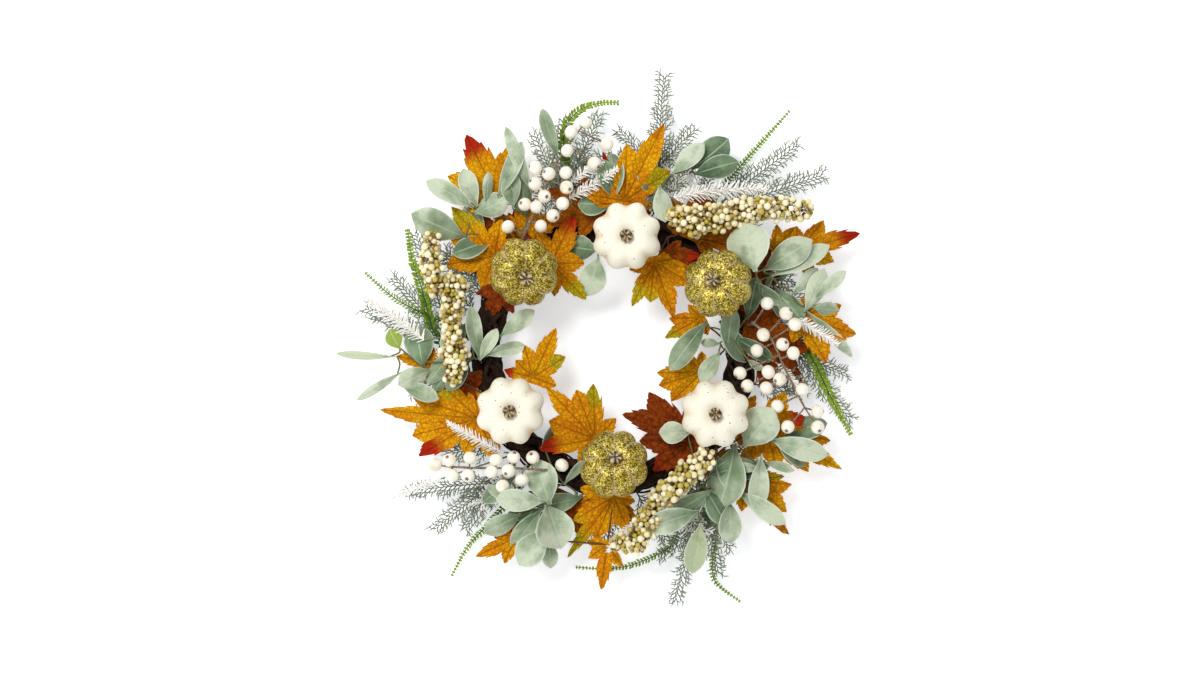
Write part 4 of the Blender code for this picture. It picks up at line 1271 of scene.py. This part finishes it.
def seeds(scene):
    """Clumps of small beads on short stalks along a stem."""
    skin, wire = seed_finish(scene.wreath_paint), wire_finish(scene.wreath_paint)
    template = ball_template(2)
    for name, clumps in SEED_SPRAYS.items():
        rand = random.Random(name)
        beads, stalks = Shape(), Shape()
        line = []
        held = []
        packed = []
        for clump, after in zip(clumps, [*clumps[1:], None]):
            packed.append(clump)
            if after:
                packed.append(tuple((first + second) / 2 for first, second in zip(clump, after)))
        for angle, offset, radius in packed:
            centre = clear_of_pumpkins(at(angle, offset, PUMPKIN_BACK + 1 + radius), radius)
            line.append(centre)
            count = int(0.9 * radius * radius)
            for n in range(count):
                height = 1 - 2 * (n + 0.5) / count
                turn = GOLDEN_TURN * n + rand.uniform(-0.2, 0.2)
                flat = math.sqrt(1 - height * height)
                way = Vector((flat * math.cos(turn), -height, flat * math.sin(turn)))
                draw = rand.random()
                _, sizes, tones, reach, golden = next(kind for kind in BEADS if draw < kind[0])
                size, tone = rand.uniform(*sizes), rand.uniform(*tones)
                reach *= radius * rand.uniform(0.86, 1.04) + 0.6
                spot = centre + way * reach * MM
                gold = rand.random() < golden
                if any((spot - other).length < (size + taken) * 0.86 * MM for other, taken in held):
                    continue
                held.append((spot, size))
                beads.ball(spot, size, template, (tone, float(gold), 0))
                stalks.needle(centre + way * radius * 0.3 * MM, spot, 0.45, 0.9)
        smooth = curve_through([*into_vines(*clumps[0][:2]), *line], 5)
        stalks.rod(smooth, 1.6, 7, rough=0.2)
        beads.made(f"seed_beads_{name[-1]}", skin, "seed", stands_for=[name], sharp=180)
        stalks.made(f"seed_stalks_{name[-1]}", wire, "wire")


def frond(shape, base, heading, length, width, frosted, rand):
    """A flat spray of filigree: a bowed stem, branches on both sides, and short forked twigs on each."""
    along, across = direction(heading), direction(heading + 90)
    bow = rand.uniform(-0.08, 0.08) * length
    hue = (rand.random(), 0.9 if frosted else 0, 0)

    def lay(x, y, z):
        """A place on the frond: along it, across it and over it."""
        share = x / length
        return base + (along * x + across * (y + bow * share * share)) * MM - DEPTH_AXIS * z * MM

    stem = [lay(length * k / 8, 0, 3 * math.sin(2.6 * k / 8)) for k in range(9)]
    shape.tube(stem, [0.9 - 0.07 * k for k in range(9)], 5, hue=hue, out=(0.0, 0.5))
    reach = width * 0.74 + 11
    x = length * 0.06
    flip = 1
    while x < length * 0.97:
        share = x / length
        side = flip * math.radians(rand.uniform(34, 50))
        far = reach * (1 - 0.62 * share) * rand.uniform(0.6, 1.25)
        lift = rand.uniform(-3.0, 4.0)
        start_z = 3 * math.sin(2.6 * share)
        tip_x, tip_y = x + far * math.cos(side), far * math.sin(side)
        start, tip = lay(x, 0, start_z), lay(tip_x, tip_y, start_z + lift)
        shape.needle(start, tip, 0.85, 0.6, hue, (0.2, 0.9))
        fork = 1
        place = TWIG_SPACING
        while place < far * 0.96:
            inner = place / far
            turn = side + fork * math.radians(rand.uniform(28, 44))
            small = rand.uniform(4.0, 9.4) * (1 - 0.4 * inner)
            bx, by = x + place * math.cos(side), place * math.sin(side)
            z = start_z + lift * inner
            end = lay(bx + small * math.cos(turn), by + small * math.sin(turn), z + rand.uniform(-2.2, 2.2))
            shape.needle(lay(bx, by, z), end, 0.74, 0.8, hue, (0.5, 1.0))
            fork = -fork
            place += TWIG_SPACING * rand.uniform(0.6, 1.2)
        flip = -flip
        x += BRANCH_SPACING * rand.uniform(0.8, 1.2)


def spike(shape, base, heading, length, radius, rand):
    """A frosted spike: needles all round a stem, pointing forward."""
    along, across = direction(heading), direction(heading + 90)
    bow = rand.uniform(-0.10, 0.10) * length
    line = []
    for k in range(9):
        share = k / 8
        run = (along * length * share + across * bow * share * share) * MM
        line.append(base + run - DEPTH_AXIS * 12 * share * MM)
    shape.tube(line, [1.1 - 0.08 * k for k in range(9)], 6, hue=(0, 0.8, 0))
    count = int(length / SPIKE_SPACING)
    for n in range(count):
        share = (n + rand.random()) / count
        spot = line[int(share * 8)].lerp(line[min(int(share * 8) + 1, 8)], share * 8 % 1)
        turn = GOLDEN_TURN * n
        out = across * math.cos(turn) - DEPTH_AXIS * math.sin(turn)
        full = (radius + 2.5) * (0.65 + 0.35 * eased(0.0, 0.2, share) - 0.55 * eased(0.6, 1.0, share))
        full *= rand.uniform(0.8, 1.2)
        tip = spot + (out * 0.82 + along * rand.uniform(0.35, 0.75)).normalized() * full * MM
        shape.needle(spot, tip, 0.9, 0.7, (0, rand.uniform(0.8, 1.0), 0), (0.2, 1.0))


def leafy_stem(shape, line, reach, rand, tones, full=False, broad=0.15):
    """Leaflets on both sides of a stem, shorter towards its end. A full stem has more on its front."""
    lengths = [0.0]
    for before, after in zip(line, line[1:]):
        lengths.append(lengths[-1] + (after - before).length / MM)
    total = lengths[-1]
    radii = [0.95 - 0.55 * length / total for length in lengths]
    shape.tube(line, radii, 6, hue=(tones[0] * 0.6, 0, 0))
    travelled = SPRIG_SPACING
    index = 0
    while travelled < total:
        while lengths[index + 1] < travelled:
            index += 1
        part = (travelled - lengths[index]) / (lengths[index + 1] - lengths[index])
        spot = line[index].lerp(line[index + 1], part)
        along = (line[index + 1] - line[index]).normalized()
        across = along.cross(DEPTH_AXIS).normalized()
        share = travelled / total
        size = reach * (0.75 + 0.25 * eased(0, 0.2, share) - 0.55 * eased(0.55, 1.0, share))
        tone = tones[0] + (tones[1] - tones[0]) * share
        ways = [across, -across]
        if full:
            ways += [across * 0.7 - DEPTH_AXIS * 0.7, -across * 0.7 - DEPTH_AXIS * 0.7]
        for way in ways:
            lean = (way * rand.uniform(0.75, 1.0) + along * rand.uniform(0.5, 0.95)).normalized()
            lean = (lean - DEPTH_AXIS * rand.uniform(-0.2, 0.35)).normalized()
            end = spot + lean * size * rand.uniform(0.85, 1.12) * MM
            flat = lean.cross(DEPTH_AXIS).normalized()
            colour = (min(max(tone + rand.uniform(-0.15, 0.15), 0), 1), 0, 0)
            shape.leaflet(spot, end, flat, reach * broad + 0.2, 0.3, colour)
        travelled += SPRIG_SPACING


def ferns(scene):
    """The fern picks: grey fronds, and at some of them green sprigs and white spikes."""
    grey, green = frost_finish(scene.wreath_paint), green_finish(scene.wreath_paint)
    for name, (angle, fronds, sprigs, spikes) in FERN_SPRAYS.items():
        rand = random.Random(name)
        root = at(angle, BUNDLE_RADIUS - 3, FROND_DEPTH)
        filigree = Shape()
        for n, (place, offset, heading, length, width) in enumerate(fronds):
            base = at(place, offset, FROND_DEPTH + 2.0 * n)
            inner = base - direction(heading) * 16 * MM
            filigree.rod(curve_through([root, (root + inner) / 2, inner, base], 4), 1.0, 6)
            frond(filigree, inner, heading, length + 16, width, False, rand)
        for n in range(INNER_FRONDS):
            spread = angle + (n - (INNER_FRONDS - 1) / 2) * 11 + rand.uniform(-3, 3)
            base = at(spread, BUNDLE_RADIUS - 2, FROND_DEPTH + 4 + rand.uniform(0, 8))
            frosted = rand.random() < FROSTED_SHARE
            frond(filigree, base, spread + rand.uniform(-35, 35), rand.uniform(52, 76), 18, frosted, rand)
        filigree.made(f"frosted_fronds_{name[-1]}", grey, "fern", stands_for=[name])
        if sprigs:
            leafy = Shape()
            for n, places in enumerate(sprigs):
                line = curve_through([root] + [at(*place, SPRIG_DEPTH) for place in places], 8)
                leafy_stem(leafy, line, 9.0 if n == 0 else 6.5, rand, (0.1, 1.0), full=n == 0)
            leafy.made(f"green_sprigs_{name[-1]}", green, "fern")
        if spikes:
            white = Shape()
            for place, offset, heading, length, radius in spikes:
                base = at(place, offset, SPIKE_DEPTH)
                white.rod(curve_through([root, base], 3), 0.9, 6, hue=(0, 0.3, 0))
                spike(white, base, heading, length, radius, rand)
            white.made(f"white_spikes_{name[-1]}", grey, "fern")


def twigs(scene):
    """Green twigs, each on its own body at the ring."""
    green = green_finish(scene.wreath_paint)
    for name, (layer, places) in GREEN_TWIGS.items():
        rand = random.Random(name)
        line = curve_through([at(*place, TWIG_DEPTH + TWIG_LAYER * layer) for place in places], 8)
        shape = Shape()
        leafy_stem(shape, line, 5.5, rand, (0.35, 1.0), broad=0.22)
        shape.made("leafy_" + name, green, "green_twig", body=name, stands_for=[name])


def stage(scene):
    """A white door behind, a pale floor, a soft key light from the upper left and a bright room."""
    scene.view_settings.view_transform = "Standard"
    world = bpy.data.worlds.new("room")
    world.use_nodes = True
    room = world.node_tree.nodes["Background"].inputs
    room["Color"].default_value = (1.0, 1.0, 1.0, 1)
    room["Strength"].default_value = ROOM_LIGHT
    scene.world = world
    wide = STAGE_HALF_WIDTH
    # The wall glows a little, so it stays white in the picture
    finish = Finish(
        "white_wall", Roughness=0.9, Specular_IOR_Level=0.1,
        Emission_Color=(0.90, 0.95, 1, 1), Emission_Strength=0.42,
    )
    speck = finish.grain(4, 2.0)
    colour = finish.mix(speck * 0.1, painted(0.985, 0.985, 0.985), painted(0.96, 0.97, 0.98))
    panel("wall", finish, colour, [
        (x, WALL_GAP, z) for x, z in (
            (-wide, FLOOR_HEIGHT), (wide, FLOOR_HEIGHT), (wide, WALL_TOP), (-wide, WALL_TOP),
        )
    ])
    finish = Finish("pale_floor", Roughness=0.8)
    colour = finish.mix(finish.grain(3, 2.0), painted(0.93, 0.93, 0.93), painted(0.88, 0.88, 0.88))
    panel("floor", finish, colour, [
        (x, y, FLOOR_HEIGHT) for x, y in (
            (-wide, -FLOOR_HALF_LENGTH), (wide, -FLOOR_HALF_LENGTH),
            (wide, FLOOR_HALF_LENGTH), (-wide, FLOOR_HALF_LENGTH),
        )
    ])
    lamp = bpy.data.lights.new("key", "AREA")
    lamp.shape = "DISK"
    lamp.size = KEY_SIZE
    lamp.energy = KEY_POWER
    key = in_scene("key", lamp)
    key.location = KEY_PLACE
    aim = Vector((0, 0, CENTRE_Z * MM)) - key.location
    key.rotation_euler = aim.to_track_quat("-Z", "Y").to_euler()
    lens = bpy.data.cameras.new("camera")
    lens.lens = LENS_LENGTH
    lens.sensor_width = 36
    lens.clip_end = 50
    camera = in_scene("camera", lens)
    camera.location = CAMERA_PLACE
    camera.rotation_euler = (math.pi / 2, 0, 0)
    scene.camera = camera


def panel(name, finish, colour, corners):
    """A flat stage panel. It is one-sided, so the wreath can be seen from its back and from below."""
    finish.finished(colour)
    clear = finish.add("ShaderNodeBsdfTransparent", {}, {})
    behind = finish.add("ShaderNodeNewGeometry", {}, {}, "Backfacing")
    front = Wire(finish, finish.shader.outputs[0])
    seen = finish.add("ShaderNodeMixShader", {}, {0: behind, 1: front, 2: clear})
    finish.tree.links.new(seen.socket, finish.tree.nodes["Material Output"].inputs["Surface"])
    mesh = bpy.data.meshes.new(name)
    mesh.from_pydata(corners, [], [(0, 1, 2, 3)])
    mesh.materials.append(finish.material)
    in_scene(name, mesh)


def colour_property(title, about, default):
    """A colour that the panel shows."""
    return bpy.props.FloatVectorProperty(
        name=title, description=about, default=default, subtype="COLOR", size=3, min=0.0, max=1.0,
    )


class WreathSizes(bpy.types.PropertyGroup):
    """Sizes that can change without the frame"""

    leaf_thickness: bpy.props.FloatProperty(
        name="Leaf thickness", description="Thickness of a maple leaf's cloth", default=0.0004,
        min=0.0001, max=0.002, subtype="DISTANCE", unit="LENGTH", precision=5,
    )
    tendril_radius: bpy.props.FloatProperty(
        name="Tendril radius", description="Radius of the thin tendrils round the ring", default=0.0013,
        min=0.0005, max=0.003, subtype="DISTANCE", unit="LENGTH", precision=5,
    )


class WreathPaint(bpy.types.PropertyGroup):
    """Main colour of each finish"""

    bark: colour_property("Bark", "Middle brown of the vines", painted(0.15, 0.09, 0.06))
    wire: colour_property("Wire", "Paper round the wires and stalks", painted(0.28, 0.19, 0.12))
    maple_gold: colour_property("Maple gold", "Middle of a maple leaf", painted(0.88, 0.56, 0.0))
    maple_red: colour_property("Maple red", "Red tips of the maple leaves", painted(0.70, 0.13, 0.05))
    maple_green: colour_property("Maple green", "Yellow-green tips of the leaves", painted(0.72, 0.66, 0.10))
    sage: colour_property("Sage", "Pale lamb's ear leaf", painted(0.60, 0.66, 0.54))
    ivory: colour_property("Ivory", "White pumpkins", painted(0.97, 0.95, 0.87))
    gold: colour_property("Gold", "Gold pumpkins", painted(0.50, 0.42, 0.05))
    stalk: colour_property("Stalk", "Pumpkin stalks", painted(0.48, 0.40, 0.26))
    berry: colour_property("Berry", "White berries", painted(0.99, 0.97, 0.91))
    seed: colour_property("Seed", "Middle seed colour", painted(0.89, 0.82, 0.58))
    fern_grey: colour_property("Fern grey", "Frosted fern", painted(0.64, 0.67, 0.59))
    fern_fresh: colour_property("Fresh green", "Tips of the green fern", painted(0.56, 0.67, 0.16))
    fern_deep: colour_property("Deep green", "Root of the green fern", painted(0.14, 0.30, 0.12))


class BuildStep:
    """What each button does: it builds its group of pieces."""

    def execute(self, context):
        self.build(context.scene)
        return {"FINISHED"}


class WREATH_OT_vines(BuildStep, bpy.types.Operator):
    """Build the ring of vines"""

    bl_idname = "wreath.vines"
    bl_label = "Vines"
    build = staticmethod(vines)


class WREATH_OT_wires(BuildStep, bpy.types.Operator):
    """Build the hanging loop and finish the wires"""

    bl_idname = "wreath.wires"
    bl_label = "Wires"
    build = staticmethod(wires)


class WREATH_OT_pumpkins(BuildStep, bpy.types.Operator):
    """Build the pumpkins and their stalks"""

    bl_idname = "wreath.pumpkins"
    bl_label = "Pumpkins"
    build = staticmethod(pumpkins)


class WREATH_OT_maple(BuildStep, bpy.types.Operator):
    """Build the maple leaves"""

    bl_idname = "wreath.maple"
    bl_label = "Maple leaves"
    build = staticmethod(maple_leaves)


class WREATH_OT_lambs_ear(BuildStep, bpy.types.Operator):
    """Build the lamb's ear leaves"""

    bl_idname = "wreath.lambs_ear"
    bl_label = "Lamb's ear"
    build = staticmethod(lambs_ear)


class WREATH_OT_berries(BuildStep, bpy.types.Operator):
    """Build the berry sprays"""

    bl_idname = "wreath.berries"
    bl_label = "Berries"
    build = staticmethod(berries)


class WREATH_OT_seeds(BuildStep, bpy.types.Operator):
    """Build the seed heads"""

    bl_idname = "wreath.seeds"
    bl_label = "Seed heads"
    build = staticmethod(seeds)


class WREATH_OT_ferns(BuildStep, bpy.types.Operator):
    """Build the frosted ferns, green sprigs and white spikes"""

    bl_idname = "wreath.ferns"
    bl_label = "Ferns"
    build = staticmethod(ferns)


class WREATH_OT_twigs(BuildStep, bpy.types.Operator):
    """Build the green twigs"""

    bl_idname = "wreath.twigs"
    bl_label = "Green twigs"
    build = staticmethod(twigs)


class WREATH_OT_stage(BuildStep, bpy.types.Operator):
    """Set up the wall, floor, light and camera"""

    bl_idname = "wreath.stage"
    bl_label = "Stage"
    build = staticmethod(stage)


OPERATORS = (
    WREATH_OT_stage, WREATH_OT_vines, WREATH_OT_wires, WREATH_OT_pumpkins, WREATH_OT_maple,
    WREATH_OT_lambs_ear, WREATH_OT_berries, WREATH_OT_seeds, WREATH_OT_ferns, WREATH_OT_twigs,
)


class WREATH_PT_panel(bpy.types.Panel):
    """Sizes, colours and the pieces to build"""

    bl_label = "Harvest wreath"
    bl_idname = "WREATH_PT_panel"
    bl_space_type = "VIEW_3D"
    bl_region_type = "UI"
    bl_category = "Wreath"

    def draw(self, context):
        for group in (context.scene.wreath_sizes, context.scene.wreath_paint):
            box = self.layout.box()
            for title in group.__annotations__:
                box.prop(group, title)
        for made in OPERATORS:
            self.layout.operator(made.bl_idname)


CLASSES = (WreathSizes, WreathPaint, *OPERATORS, WREATH_PT_panel)


def register():
    for made in CLASSES:
        bpy.utils.register_class(made)
    bpy.types.Scene.wreath_sizes = bpy.props.PointerProperty(type=WreathSizes)
    bpy.types.Scene.wreath_paint = bpy.props.PointerProperty(type=WreathPaint)


def unregister():
    del bpy.types.Scene.wreath_paint
    del bpy.types.Scene.wreath_sizes
    for made in reversed(CLASSES):
        bpy.utils.unregister_class(made)


def main():
    """Builds every group of pieces."""
    register()
    for made in OPERATORS:
        group, title = made.bl_idname.split(".")
        getattr(getattr(bpy.ops, group), title)()
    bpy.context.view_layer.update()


if __name__ == "__main__":
    main()
